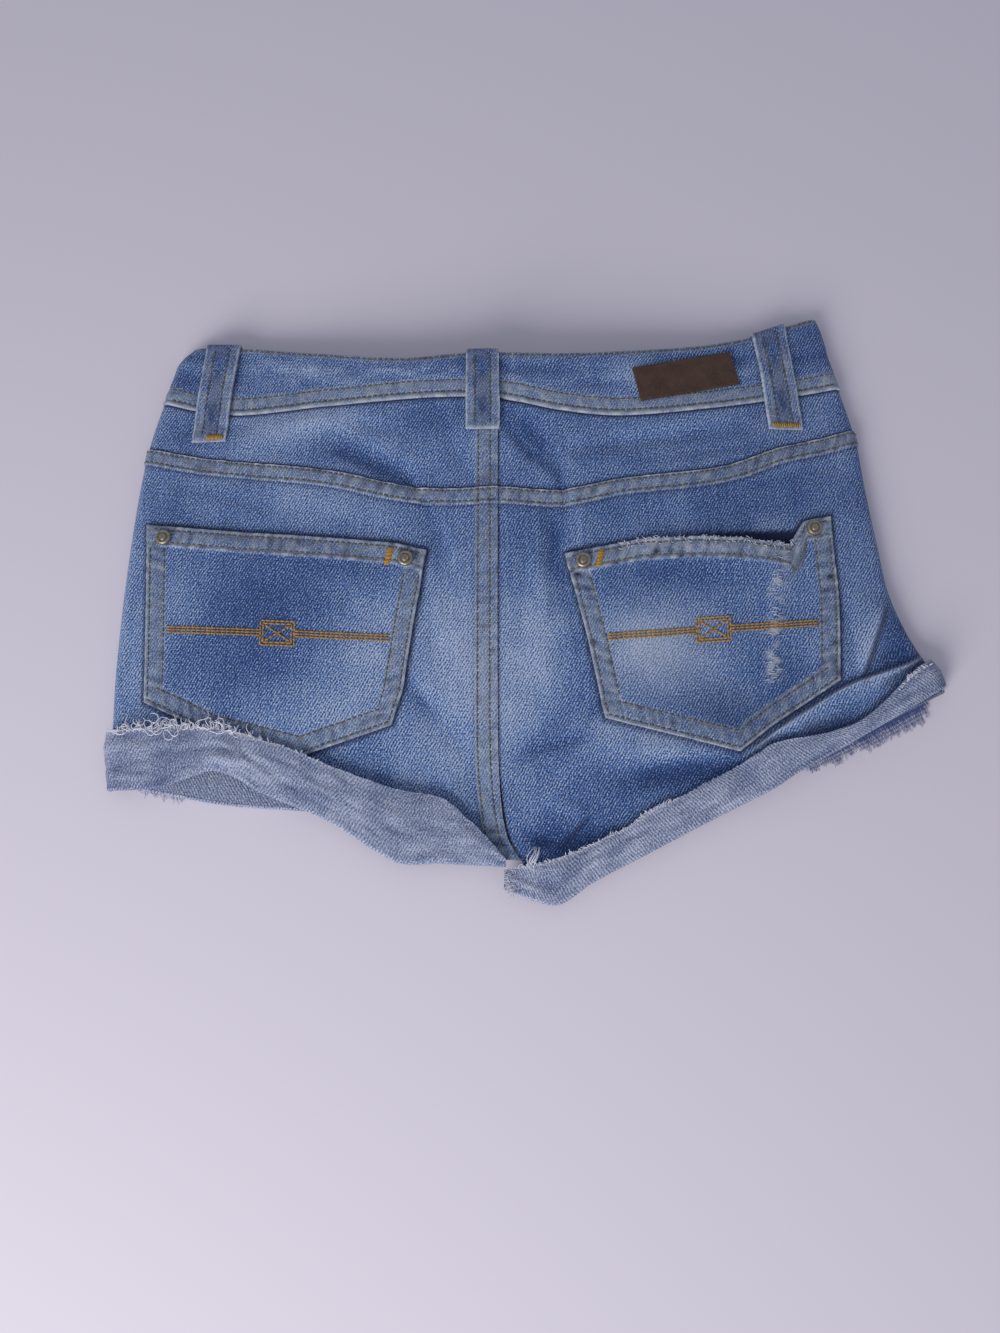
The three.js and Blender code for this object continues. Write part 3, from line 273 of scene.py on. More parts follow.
class Form:
    """The shape of the whole garment as it lies, which every piece of cloth follows."""

    def __init__(self) -> None:
        """Turns the tables to lines."""
        self.left, self.right = Line(SIDE_LEFT), Line(SIDE_RIGHT)
        self.centre = Line(CENTRE_SEAM)
        self.waist_top, self.waist_seam, self.yoke = Line(WAIST_TOP), Line(WAIST_SEAM), Line(YOKE_SEAM)
        self.front_waist_top, self.front_waist_seam = Line(FRONT_WAIST_TOP), Line(FRONT_WAIST_SEAM)
        self.hem_left, self.hem_right = Line(HEM_LEFT), Line(HEM_RIGHT)
        self.front_hem_left, self.front_hem_right = Line(FRONT_HEM_LEFT), Line(FRONT_HEM_RIGHT)
        self.cuff_left, self.cuff_right = Line(CUFF_TOP_LEFT), Line(CUFF_TOP_RIGHT)
        self.roll = Line(ROLL_TOP_RIGHT)
        self.heights = Line(HEIGHT_CENTRE), Line(HEIGHT_HALF), Line(HEIGHT_SIDE)

    def roll_height(self, x: np.ndarray, y: np.ndarray) -> np.ndarray:
        """Returns the height of the roll of cloth above the right cuff.

        Args:
            x: places across the garment, in millimetres.
            y: places up the garment, in millimetres.

        Returns:
            One value for each place.
        """
        top = self.roll(x)
        inside = smooth((top - y) / ROLL_CRISP + 0.5)
        fall = 1 - 0.75 * np.clip((top - y) / np.maximum(top - self.cuff_right(x), 4), 0, 1)
        return ROLL_RISE * inside * fall * smooth((x - ROLL_START_X) / (ROLL_FULL_X - ROLL_START_X))

    def folds(self, x: np.ndarray, y: np.ndarray) -> np.ndarray:
        """Returns how far the folds and creases raise the cloth, or lower it.

        Args:
            x: places across the garment, in millimetres.
            y: places up the garment, in millimetres.

        Returns:
            One value for each place.
        """
        total = 0 * x
        for x1, y1, x2, y2, width, rise in FOLDS + CREASES:
            dx, dy = x2 - x1, y2 - y1
            along = np.clip(((x - x1) * dx + (y - y1) * dy) / (dx * dx + dy * dy), 0, 1)
            away = np.hypot(x - x1 - along * dx, y - y1 - along * dy)
            total = total + rise * bump(away, width) * (0.55 + 0.45 * np.sin(np.pi * along))
        return total + self.laps(x, y)[0]

    @staticmethod
    def laps(x: np.ndarray, y: np.ndarray) -> tuple[np.ndarray, np.ndarray]:
        """Returns how far the laps raise the cloth, and the painted shadow line at their foot.

        Args:
            x: places across the garment, in millimetres.
            y: places up the garment, in millimetres.

        Returns:
            The rise and the painted shadow line, for each place.
        """
        total, foot = 0 * x, 0 * x
        for x1, y1, x2, y2, width, rise in LAPS:
            long = math.hypot(x2 - x1, y2 - y1)
            along = ((x - x1) * (x2 - x1) + (y - y1) * (y2 - y1)) / long ** 2
            left = ((y - y1) * (x2 - x1) - (x - x1) * (y2 - y1)) / long
            held = smooth(along * 4) * smooth((1 - along) * 4)
            total = total + rise * smooth(left / 2.2 + 0.5) * np.exp(-np.maximum(left, 0) / width) * held
            # The foot is painted shadow: a dark line on the low side of each lap.
            foot = np.maximum(foot, min(rise / 2, 1) * bump(left + 1.4, 2.6) * held)
        return total, foot

    def dome(self, x: np.ndarray, y: np.ndarray) -> np.ndarray:
        """Returns the height of the back's outer face, folds included.

        Args:
            x: places across the garment, in millimetres.
            y: places up the garment, in millimetres.

        Returns:
            One value for each place.
        """
        side = np.where(x < CENTRE_X, self.left(y), self.right(y))
        t = (x - CENTRE_X) / (side - CENTRE_X)
        centre, half, edge = (line(y) for line in self.heights)
        to_half, to_side = half - centre, edge - centre
        square = (16 * to_half - to_side) / 3
        height = centre + square * t ** 2 + (to_side - square) * t ** 4
        height = height + self.folds(x, y)
        wobble = 0.22 * uneven(x, y, 17, 3) + 0.12 * uneven(x, y, 8, 4)
        return height + self.roll_height(x, y) + wobble

    def underside(self, x: np.ndarray, y: np.ndarray) -> np.ndarray:
        """Returns the height of the front's outer face, which lies on the sheet but for cuff and button.

        Args:
            x: places across the garment, in millimetres.
            y: places up the garment, in millimetres.

        Returns:
            One value for each place.
        """
        hem = np.where(x < CENTRE_X, self.front_hem_left(x), self.front_hem_right(x))
        over_cuff = HEM_LIFT * smooth(1 - (y - hem - FRONT_CUFF_WIDTH - 3) / 16)
        over_button = BUTTON_LIFT * smooth(1.3 - np.hypot(x - BUTTON_X, y - BUTTON_Y) / 40)
        return np.maximum(over_cuff, over_button)

    def face(self, layer: Layer, x: np.ndarray, y: np.ndarray) -> tuple[np.ndarray, np.ndarray]:
        """Finds points of one face of the body and their outward normals.

        Args:
            layer: the back's outer face or the front's.
            x: places across the garment.
            y: places up it.

        Returns:
            The points and the normals, with a last axis of three.
        """
        x, y = np.broadcast_arrays(np.asarray(x, float), np.asarray(y, float))
        on_left = x < CENTRE_X
        side = np.where(on_left, self.left(y), self.right(y))
        lean = np.where(on_left, self.left(y + 0.5) - self.left(y - 0.5),
                        self.right(y + 0.5) - self.right(y - 0.5))
        stretch = np.hypot(1, lean)
        outward = np.stack([np.where(on_left, -1, 1), np.where(on_left, lean, -lean), 0 * x], -1)
        outward = outward / stretch[..., None]
        height = self.dome if layer is Layer.BACK else self.underside
        sign = layer.value
        seam = SIDE_SEAM_Z + sign * HALF_SEAM
        level = height(x, y)
        radius = np.abs(level - seam)
        inset = np.maximum(0, np.where(on_left, x - side, side - x) / stretch)
        share = np.sin(np.arccos(np.clip(1 - inset / radius, 0, 1)))
        slope_x = height(x + 0.5, y) - height(x - 0.5, y)
        slope_y = height(x, y + 0.5) - height(x, y - 0.5)
        normal = np.stack([-slope_x * sign * share, -slope_y * sign * share, sign * share], -1)
        normal = normal + outward * np.sqrt(1 - share ** 2)[..., None]
        normal /= np.linalg.norm(normal, axis=-1, keepdims=True)
        return np.stack([x, y, seam + (level - seam) * share], -1), normal


class Cut:
    """A piece seen from above: a net between a line below and one above, and two edges."""

    def __init__(self, below: Line, above: Line, outer: Line, inner: Line, below_gap: float = 0,
                 above_gap: float = 0, inner_gap: float = 0) -> None:
        """Finds the piece's four corners.

        Args:
            below: y by x along its lower edge.
            above: y by x along its upper edge.
            outer: x by y along the edge at u = 0.
            inner: x by y along the edge at u = 1.
            below_gap: how far the piece stops short of the line below.
            above_gap: how far it stops short of the line above.
            inner_gap: how far it stops short of the inner edge.
        """
        self.low = lambda x: below(x) + below_gap * np.hypot(1, below(x + 0.5) - below(x - 0.5))
        self.high = lambda x: above(x) - above_gap * np.hypot(1, above(x + 0.5) - above(x - 0.5))
        self.outer = outer
        self.inner = lambda y: inner(y) + inner_gap * (1 + CROTCH_EASE * smooth((-90 - y) / 30))
        self.corners = [self.corner(line, side) for line in (self.low, self.high)
                        for side in (self.outer, self.inner)]

    @staticmethod
    def corner(line: Callable, side: Callable) -> tuple[float, float]:
        """Returns where a line across the garment meets an edge.

        Args:
            line: a line across the garment.
            side: the side of the garment.

        Returns:
            The place (x, y).
        """
        x = float(side(line(0.0)))
        for _ in range(12):
            x = float(side(line(x)))
        return x, float(line(x))

    def plan(self, u: np.ndarray | float, v: np.ndarray | float) -> tuple[np.ndarray, np.ndarray]:
        """Returns the place (x, y) of shares u across and v up the piece.

        Args:
            u: shares across the piece, from 0 to 1.
            v: shares up the piece, from 0 to 1.

        Returns:
            The places x and the places y.
        """
        (ax, ay), (bx, by), (cx, cy), (dx, dy) = self.corners
        x_low, x_high = mix(ax, bx, u), mix(cx, dx, u)
        y_out, y_in = mix(ay, cy, v), mix(by, dy, v)
        flat_y = mix(mix(ay, by, u), mix(cy, dy, u), v)
        x = mix(self.outer(y_out), self.inner(y_in), u)
        y = mix(self.low(x_low), self.high(x_high), v) + mix(y_out, y_in, u) - flat_y
        return x, y

    def length(self, v: np.ndarray | float) -> np.ndarray:
        """Returns how far it is across the piece at share v."""
        (x0, y0), (x1, y1) = self.plan(0.0, v), self.plan(1.0, v)
        return np.hypot(x1 - x0, y1 - y0)

    def height(self, u: np.ndarray | float) -> np.ndarray:
        """Returns how far it is up the piece at share u."""
        (x0, y0), (x1, y1) = self.plan(u, 0.0), self.plan(u, 1.0)
        return np.hypot(x1 - x0, y1 - y0)

    def net(self, columns: Callable, rows: Callable) -> tuple[np.ndarray, np.ndarray]:
        """Lays a grid over the piece.

        Args:
            columns: gives the columns' shares for an array of v.
            rows: gives the rows' shares for an array of u.

        Returns:
            u and v at each knot, rows by columns.
        """
        middle = rows(np.array([0.5]))[0]
        u = columns(middle)
        found = rows(u)
        return u, np.take_along_axis(found, np.arange(len(middle))[:, None, None], -1)[..., 0]


def ticks(length: np.ndarray, start: Sequence[float], end: Sequence[float], between: int) -> np.ndarray:
    """Finds the shares of a length at which grid lines lie.

    Args:
        length: the lengths, in millimetres.
        start: distances from the start, the first of them 0.
        end: distances from the end, the last of them 0.
        between: how many even steps lie between the two.

    Returns:
        Shares, with one more axis than length.
    """
    length = np.asarray(length, float)[..., None]
    first, last = np.array(start) / length, 1 - np.array(end) / length
    even = np.linspace(0, 1, between + 1)[1:-1]
    return np.concatenate([first, first[..., -1:] + (last[..., :1] - first[..., -1:]) * even, last], -1)


# Distances of the grid lines from an edge: round the side's turn, at a plain edge, at a neat seam and over
# the centre fell.
SIDE_STEPS = [SIDE_TURN * (1 - math.cos(t * math.pi / 2)) for t in np.linspace(0, 1, 8)]
EDGE_STEPS = [0.8, 0.3, 0]
SEAM_STEPS = [1.6, 0.8, 0.3, 0]
CENTRE_STEPS = [13.4, *(12.4 - 0.45 * step for step in range(6)), 9.0, 8, 7, 6, 5.2, 4.7, 4.3, 3.9, 3.4, 2.5,
                1.6, 0.8, 0.3, 0]
FELL_STEPS = [10.6, 9.9, 9.5, 9.2, 8.9, 8.5, 8.1, 7.7, 7.4, 7.0, 6.4, 5.5, 4.5, 3.5, 2.6, 1.9, 1.4, 1.0, 0.5,
              0.2, 0]
BAND_LOW_STEPS = [0, 0.15, 0.4, 0.7, 1.1, 1.7, 2.4, 2.8, 3.2, 3.6, 4.2]
BAND_TOP_STEPS = [2.4, 1.9, 1.6, 1.3, 0.9, 0.5, 0.2, 0]
POCKET_RIM_STEPS = [0, 0.15, 0.45, 0.9, 1.5, 2.0, 2.6, 3.6, 4.8, 6.2, 7.6, 8.8, 9.4, 9.8, 10.3, 11]
POCKET_TOP_STEPS = [13, 12.4, 11.9, 11.5, 11, 10.4, 9.9, 9.5, 9.1, 8.2, 7, 5.8, 4.6, 3.4, 2.9, 2.5, 2.1, 1.5,
                    0.9, 0.45, 0.15, 0]


class Side(Enum):
    """A leg of the garment, as the picture shows it."""

    LEFT = "left"
    RIGHT = "right"


@dataclass(frozen=True)
class Dye:
    """How the cloth looks at each point: faded, worn grey, worn white, or darkened by dye left dark and by
    painted shade.
    """

    fade: np.ndarray
    wear: np.ndarray | float = 0.0
    edge: np.ndarray | float = 0.0
    # ink carries dark dye left in seam hollows and also painted shade: shadow lines and shadows passed in by
    # the pieces.
    ink: np.ndarray | float = 0.0

    def table(self) -> np.ndarray:
        """Returns the four as one array, held within 0 and 1."""
        parts = np.broadcast_arrays(self.fade, self.wear, self.edge, self.ink)
        return np.clip(np.stack(parts, -1), 0, 1).astype(np.float32)


@dataclass(frozen=True)
class Wash:
    """The stone wash: soft pale and dark places, each (x, y, half width, half height, turn, amount)."""

    base: float = 0.395
    zones: tuple[tuple[float, ...], ...] = (
        (-35, -35, 26, 50, 8, 0.34), (2, -30, 17, 45, -6, 0.30), (-120, 96, 62, 12, -2, 0.26),
        (-118, 52, 46, 12, -12, 0.14), (-200, 40, 20, 30, 0, -0.10), (-208, -20, 11, 70, 2, 0.14),
        (-60, 95, 34, 10, 0, -0.22), (-185, 92, 16, 14, 0, -0.20), (-40, 78, 20, 14, 10, 0.05),
        (30, 92, 30, 16, -10, -0.12), (60, 84, 50, 8, 6, 0.20), (120, 96, 30, 10, 10, 0.05),
        (120, 52, 60, 16, 10, -0.16), (40, 42, 20, 16, 0, -0.10), (-4, 30, 14, 30, 0, -0.14),
        (-40, 30, 16, 22, 0, -0.10), (-45, -85, 40, 26, -14, 0.14), (10, -104, 16, 26, 10, -0.04),
        (18, -130, 18, 11, 0, -0.30), (60, -78, 44, 9, -8, 0.20), (72, -98, 40, 8, 6, -0.22),
        (40, -118, 22, 10, 12, -0.16), (178, 40, 12, 50, 6, 0.02), (178, -30, 10, 26, 10, 0.12),
        (196, -30, 8, 24, 20, -0.18), (-100, -62, 40, 12, 0, 0.10), (-20, -70, 12, 30, 0, 0.10),
    )
    band_zones: tuple[tuple[float, ...], ...] = (
        (-190, 128, 12, 16, 0, -0.22), (-110, 126, 40, 5, -4, 0.14), (-40, 124, 24, 12, 0, -0.12),
        (20, 124, 26, 8, 0, -0.10), (60, 118, 30, 8, 6, 0.06), (160, 148, 14, 18, 0, -0.30),
        (118, 138, 12, 12, 0, -0.12), (-60, 110, 60, 6, 0, 0.10), (176, 128, 8, 8, 0, 0.16),
    )
    pocket_zones: tuple[tuple[float, ...], ...] = (
        (-140, -8, 38, 30, 10, -0.26), (-150, -42, 30, 18, 0, -0.16), (-84, -34, 20, 34, -10, 0.20),
        (-186, -8, 14, 18, 30, 0.10), (-118, -70, 36, 10, 0, 0.06), (-100, 12, 40, 7, -4, -0.16),
        (60, -30, 26, 22, 10, 0.26), (92, 8, 46, 9, 0, -0.19), (96, -44, 24, 20, 0, 0.06),
        (128, -44, 16, 26, 20, -0.20), (60, 4, 24, 12, 20, -0.06), (150, 0, 9, 40, 0, 0.04),
        (100, -72, 30, 10, 0, -0.10), (132, 6, 5, 12, 0, 0.24),
    )

    def fade(self, x: np.ndarray, y: np.ndarray, zones: tuple[tuple[float, ...], ...]) -> np.ndarray:
        """Works out how faded the cloth is.

        Args:
            x: places across the garment.
            y: places up it.
            zones: the places that differ from the base.

        Returns:
            0 for deep indigo to 1 for nearly white.
        """
        total = self.base + 0.05 * uneven(x, y, 26, 11) + 0.05 * uneven(x, y, 9, 12)
        for zx, zy, wide, high, turn, amount in zones:
            c, s = math.cos(math.radians(turn)), math.sin(math.radians(turn))
            a, b = ((x - zx) * c + (y - zy) * s) / wide, ((y - zy) * c - (x - zx) * s) / high
            total = total + amount * np.exp(-(a * a + b * b) * 1.1)
        return total


def linear(colour: str) -> tuple[float, float, float, float]:
    """Turns an sRGB hex colour to linear red, green, blue and alpha."""
    parts = [int(colour[i:i + 2], 16) / 255 for i in (1, 3, 5)]
    return (*(p / 12.92 if p <= 0.04045 else ((p + 0.055) / 1.055) ** 2.4 for p in parts), 1.0)


def add(tree: bpy.types.NodeTree, kind: str, inputs: dict | None = None,
        **settings: object) -> bpy.types.Node:
    """Adds a node.

    Args:
        tree: the material's node tree.
        kind: the node's type, without the ShaderNode in front.
        inputs: what goes into each socket, a value or another node's socket.
        settings: the node's own settings.

    Returns:
        The node.
    """
    node = tree.nodes.new("ShaderNode" + kind)
    for name, value in settings.items():
        setattr(node, name, value)
    for socket, value in (inputs or {}).items():
        if isinstance(value, bpy.types.NodeSocket):
            tree.links.new(value, node.inputs[socket])
        else:
            node.inputs[socket].default_value = value
    return node


def ramp(tree: bpy.types.NodeTree, share: bpy.types.NodeSocket,
         stops: Sequence[tuple[float, str]]) -> bpy.types.NodeSocket:
    """Adds a colour ramp.

    Args:
        tree: the material's node tree.
        share: the socket that drives it.
        stops: its (place, sRGB colour) stops, in rising order.

    Returns:
        Its colour socket.
    """
    node = add(tree, "ValToRGB", {"Fac": share})
    elements = node.color_ramp.elements
    while len(elements) < len(stops):
        elements.new(0.5)
    for element, (place, colour) in zip(elements, stops):
        element.position, element.color = place, linear(colour)
    return node.outputs["Color"]


def blank(name: str) -> tuple[bpy.types.Material, bpy.types.NodeTree]:
    """Makes a material with an output and nothing else.

    Args:
        name: the name of what is made.

    Returns:
        The material and its node tree.
    """
    material = bpy.data.materials.new(name)
    material.use_nodes = True
    material.node_tree.nodes.clear()
    return material, material.node_tree


@dataclass(frozen=True)
class TwillFinish:
    """Cotton denim: a 3/1 twill with indigo warp and white weft, stone washed and matt.

    The eye sees fine slanting lines, a heathered grain of white and blue, long faint streaks where the
    warp yarn varies, pale worn ridges at seams and edges and dark dye left in the hollows. The same dark
    colour also carries painted shade: shadow lines beside raised edges and shadows under folds and laps.
    Real twill lines lie about 0.9 mm apart; they are drawn 1.4 mm apart, or the picture would lose them.
    """

    name: str
    stops: tuple[tuple[float, str], ...]
    pale: str
    worn: str
    dark: str
    lean: float = 1.0
    contrast: float = 0.27
    heather: float = 3.1
    line_mm: float = 1.4
    pick_mm: float = 1.1
    depth_mm: float = 0.22

    def make(self) -> bpy.types.Material:
        """Builds the material.

        Returns:
            The material.
        """
        material, tree = blank(self.name)
        cloth = add(tree, "UVMap", uv_map="thread_mm").outputs["UV"]
        dye = add(tree, "Attribute", attribute_name="dye", attribute_type="GEOMETRY")
        split = add(tree, "SeparateColor", {"Color": dye.outputs["Color"]})
        fade, wear, edge = (split.outputs[part] for part in ("Red", "Green", "Blue"))
        ink = dye.outputs["Alpha"]

        def math_of(operation: str, *values: object) -> bpy.types.NodeSocket:
            """Returns a sum or other operation on the values."""
            return add(tree, "Math", dict(enumerate(values)), operation=operation).outputs[0]

        def noise(scale: tuple[float, float], detail: float, rough: float = 0.55) -> bpy.types.NodeSocket:
            """Returns noise with so many hills a millimetre across and along the warp, centred on 0.

            Args:
                scale: hills a millimetre, across and along the warp.
                detail: how fine the noise goes.
                rough: how strong its fine part is.

            Returns:
                The socket that gives it.
            """
            stretched = add(tree, "VectorMath", {0: cloth, 1: (scale[0], scale[1], 1)}, operation="MULTIPLY")
            found = add(tree, "TexNoise", {"Vector": stretched.outputs[0], "Scale": 1.0, "Detail": detail,
                                           "Roughness": rough}, noise_dimensions="2D")
            return math_of("SUBTRACT", found.outputs[0], 0.5)

        drift = noise((0.09, 0.09), 2)
        turn = 2 * math.pi / self.line_mm
        across = add(tree, "VectorMath", {0: cloth, 1: (self.lean * 0.87 * turn, -0.5 * turn, 0)},
                     operation="DOT_PRODUCT").outputs["Value"]
        line = math_of("SINE", math_of("MULTIPLY_ADD", drift, 9.0, across))
        pick = add(tree, "VectorMath", {0: cloth, 1: (0.25, 2 * math.pi / self.pick_mm, 0)},
                   operation="DOT_PRODUCT").outputs["Value"]
        float_break = math_of("SINE", math_of("MULTIPLY_ADD", line, 0.9, pick))
        grain = noise((1.25, 0.95), 3, 0.8)
        streak = noise((0.75, 0.045), 3, 0.65)
        cloud = noise((0.045, 0.045), 3)
        weave = math_of("MULTIPLY_ADD", float_break, 0.25, line)

        paled = math_of("MULTIPLY_ADD", grain, self.heather, fade)
        paled = math_of("MULTIPLY_ADD", streak, 0.42, paled)
        paled = math_of("MULTIPLY_ADD", cloud, 0.18, paled)
        paled = math_of("MULTIPLY_ADD", weave, self.contrast, paled)
        colour = ramp(tree, paled, self.stops)

        patchy = math_of("MULTIPLY_ADD", noise((0.32, 0.32), 3, 0.7), 1.5, 1.0)
        worn_share = add(tree, "Math", {0: wear, 1: patchy}, operation="MULTIPLY", use_clamp=True).outputs[0]
        worn = ramp(tree, math_of("MULTIPLY_ADD", grain, 1.1, 0.5), ((0.2, self.worn), (0.85, self.pale)))
        colour = add(tree, "Mix", {"Factor": worn_share, "A": colour, "B": worn},
                     data_type="RGBA").outputs["Result"]
        edge_share = add(tree, "Math", {0: edge, 1: math_of("MULTIPLY_ADD", grain, 1.3, 0.95)},
                         operation="MULTIPLY", use_clamp=True).outputs[0]
        colour = add(tree, "Mix", {"Factor": edge_share, "A": colour, "B": linear(self.pale)},
                     data_type="RGBA").outputs["Result"]
        # This mix toward the dark colour draws dark dye and painted shade together.
        colour = add(tree, "Mix", {"Factor": ink, "A": colour, "B": linear(self.dark)},
                     data_type="RGBA").outputs["Result"]

        relief = math_of("MULTIPLY_ADD", grain, 1.1, math_of("MULTIPLY", weave, 0.5))
        bumped = add(tree, "Bump", {"Height": relief, "Strength": 0.75, "Distance": self.depth_mm * MM})
        shader = add(tree, "BsdfPrincipled", {"Base Color": colour, "Normal": bumped.outputs[0],
                                              "Roughness": 0.92, "Specular IOR Level": 0.22,
                                              "Sheen Weight": 0.12, "Sheen Roughness": 0.6})
        add(tree, "OutputMaterial", {"Surface": shader.outputs[0]})
        return material


@dataclass(frozen=True)
class ThreadFinish:
    """Spun cotton or polyester sewing yarn: two plies twisted, slightly glossy, in two mixed colours.

    The ply twist, 1.2 mm a turn on a 0.5 mm yarn, shows as slanting shade; tone moves between the two
    colours from stitch to stitch, as wear and wash leave it.
    """

    name: str
    low: str
    high: str
    rough: float = 0.75
    twist_mm: float = 1.2

    def make(self) -> bpy.types.Material:
        """Builds the material.

        Returns:
            The material.
        """
        material, tree = blank(self.name)
        tone = add(tree, "Attribute", attribute_name="tone", attribute_type="GEOMETRY").outputs["Fac"]
        yarn = add(tree, "UVMap", uv_map="thread_mm").outputs["UV"]
        turns = 2 * math.pi / self.twist_mm
        phase = add(tree, "VectorMath", {0: yarn, 1: (turns, 2 * math.pi, 0)}, operation="DOT_PRODUCT")
        ply = add(tree, "Math", {0: phase.outputs["Value"]}, operation="SINE").outputs[0]
        fuzz = add(tree, "TexNoise", {"Vector": yarn, "Scale": 2.5, "Detail": 2.0}).outputs[0]
        share = add(tree, "Math", {0: ply, 1: 0.14, 2: tone}, operation="MULTIPLY_ADD").outputs[0]
        share = add(tree, "Math", {0: fuzz, 1: 0.35, 2: share}, operation="MULTIPLY_ADD").outputs[0]
        colour = ramp(tree, share, ((0.15, self.low), (1.0, self.high)))
        bumped = add(tree, "Bump", {"Height": ply, "Strength": 0.5, "Distance": 0.08 * MM})
        shader = add(tree, "BsdfPrincipled", {"Base Color": colour, "Normal": bumped.outputs[0],
                                              "Roughness": self.rough, "Specular IOR Level": 0.35,
                                              "Sheen Weight": 0.1})
        add(tree, "OutputMaterial", {"Surface": shader.outputs[0]})
        return material


@dataclass(frozen=True)
class LeatherFinish:
    """Bonded leather, pressed and dyed dark brown: pebbled grain, satin, rubbed paler on the high spots."""

    name: str = "pressed_brown_leather"
    base: str = "#33251f"
    rubbed: str = "#4f3a30"
    grain_mm: float = 0.9

    def make(self) -> bpy.types.Material:
        """Builds the material.

        Returns:
            The material.
        """
        material, tree = blank(self.name)
        place = add(tree, "TexCoord").outputs["Object"]
        pebbles = add(tree, "TexVoronoi", {"Vector": place, "Scale": 1 / (self.grain_mm * MM)},
                      feature="SMOOTH_F1").outputs["Distance"]
        cloud = add(tree, "TexNoise", {"Vector": place, "Scale": 120.0, "Detail": 4.0}).outputs[0]
        share = add(tree, "Math", {0: pebbles, 1: 0.45, 2: cloud}, operation="MULTIPLY_ADD").outputs[0]
        colour = ramp(tree, share, ((0.35, self.base), (0.95, self.rubbed)))
        bumped = add(tree, "Bump", {"Height": pebbles, "Strength": 0.5, "Distance": 0.1 * MM})
        shader = add(tree, "BsdfPrincipled", {"Base Color": colour, "Normal": bumped.outputs[0],
                                              "Roughness": 0.55, "Specular IOR Level": 0.4})
        add(tree, "OutputMaterial", {"Surface": shader.outputs[0]})
        return material


@dataclass(frozen=True)
class NickelFinish:
    """Antique nickel on pressed brass: a dark patina in the hollows, rubbed bright on the raised places."""

    name: str = "antique_nickel_plate"
    dark: str = "#2e2a26"
    bright: str = "#a8a294"

    def make(self) -> bpy.types.Material:
        """Builds the material.

        Returns:
            The material.
        """
        material, tree = blank(self.name)
        place = add(tree, "TexCoord").outputs["Object"]
        cloud = add(tree, "TexNoise", {"Vector": place, "Scale": 900.0, "Detail": 4.0}).outputs[0]
        point = add(tree, "NewGeometry").outputs["Pointiness"]
        share = add(tree, "Math", {0: point, 1: 3.2, 2: -1.25}, operation="MULTIPLY_ADD").outputs[0]
        share = add(tree, "Math", {0: cloud, 1: 0.5, 2: share}, operation="MULTIPLY_ADD").outputs[0]
        colour = ramp(tree, share, ((0.3, self.dark), (0.8, self.bright)))
        rough = add(tree, "MapRange", {"Value": cloud, "To Min": 0.28, "To Max": 0.5}).outputs[0]
        shader = add(tree, "BsdfPrincipled", {"Base Color": colour, "Metallic": 0.9, "Roughness": rough})
        add(tree, "OutputMaterial", {"Surface": shader.outputs[0]})
        return material


@dataclass(frozen=True)
class BedSheetFinish:
    """A plain smooth bed sheet: pale cool grey, matt, almost without weave at this distance."""

    name: str = "pale_bed_sheet"
    colour: str = "#d1cfde"

    def make(self) -> bpy.types.Material:
        """Builds the material.

        Returns:
            The material.
        """
        material, tree = blank(self.name)
        shader = add(tree, "BsdfPrincipled", {"Base Color": linear(self.colour), "Roughness": 0.9,
                                              "Specular IOR Level": 0.15})
        add(tree, "OutputMaterial", {"Surface": shader.outputs[0]})
        return material


class Wardrobe:
    """The finishes, each made once and shared by the pieces that wear it."""

    def __init__(self) -> None:
        """Makes every material."""
        blue = ((0.0, "#182c5c"), (0.28, "#365a9a"), (0.5, "#557cb4"), (0.75, "#8a9fc2"), (1.0, "#b6c2d6"))
        back = ((0.0, "#445277"), (0.3, "#657699"), (0.6, "#8893b1"), (1.0, "#b2bace"))
        self.denim = TwillFinish("stone_washed_denim_face", blue, "#b0bac8", "#6d7b8c", "#0e1c40").make()
        self.wrong = TwillFinish("denim_wrong_side", back, "#c6ccda", "#76829e", "#28345c", lean=-1.0,
                                 contrast=0.2).make()
        self.cloth = self.denim, self.wrong
        self.tan = ThreadFinish("faded_tan_topstitch_yarn", "#2f2e22", "#7c7350").make()
        self.gold = ThreadFinish("gold_embroidery_yarn", "#604b1c", "#b58c35", 0.55).make()
        self.fray = ThreadFinish("frayed_cotton_yarn", "#46568a", "#cdd2e2", 0.9, 2.0).make()
        self.leather = LeatherFinish().make()
        self.nickel = NickelFinish().make()
        self.tape = ThreadFinish("navy_zip_tape_weave", "#1b2440", "#2c3a60", 0.85, 1.0).make()


def grid_faces(rows: int, columns: int) -> np.ndarray:
    """Returns the quads of a grid of knots, numbered row by row from 0.

    Args:
        rows: how many rows of knots.
        columns: how many knots a row has.

    Returns:
        Four knots a quad.
    """
    i, j = np.meshgrid(np.arange(rows - 1), np.arange(columns - 1), indexing="ij")
    a = (i * columns + j).ravel()
    return np.stack([a, a + 1, a + columns + 1, a + columns], -1)


def put(name: str, data: bpy.types.ID) -> bpy.types.Object:
    """Makes an object of the data and links it to the scene.

    Args:
        name: the name of what is made.
        data: what the object shows.

    Returns:
        The object.
    """
    made = bpy.data.objects.new(name, data)
    bpy.context.scene.collection.objects.link(made)
    return made


def dress(piece: bpy.types.Object, node: str | None = None) -> None:
    """Says that a piece rides on the garment, and reports it.

    Args:
        piece: the piece.
        node: the CAD node that it stands for.
    """
    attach(piece, "root")
    if node:
        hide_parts(node)
    log.info("%s: %d faces", piece.name, len(piece.data.polygons))


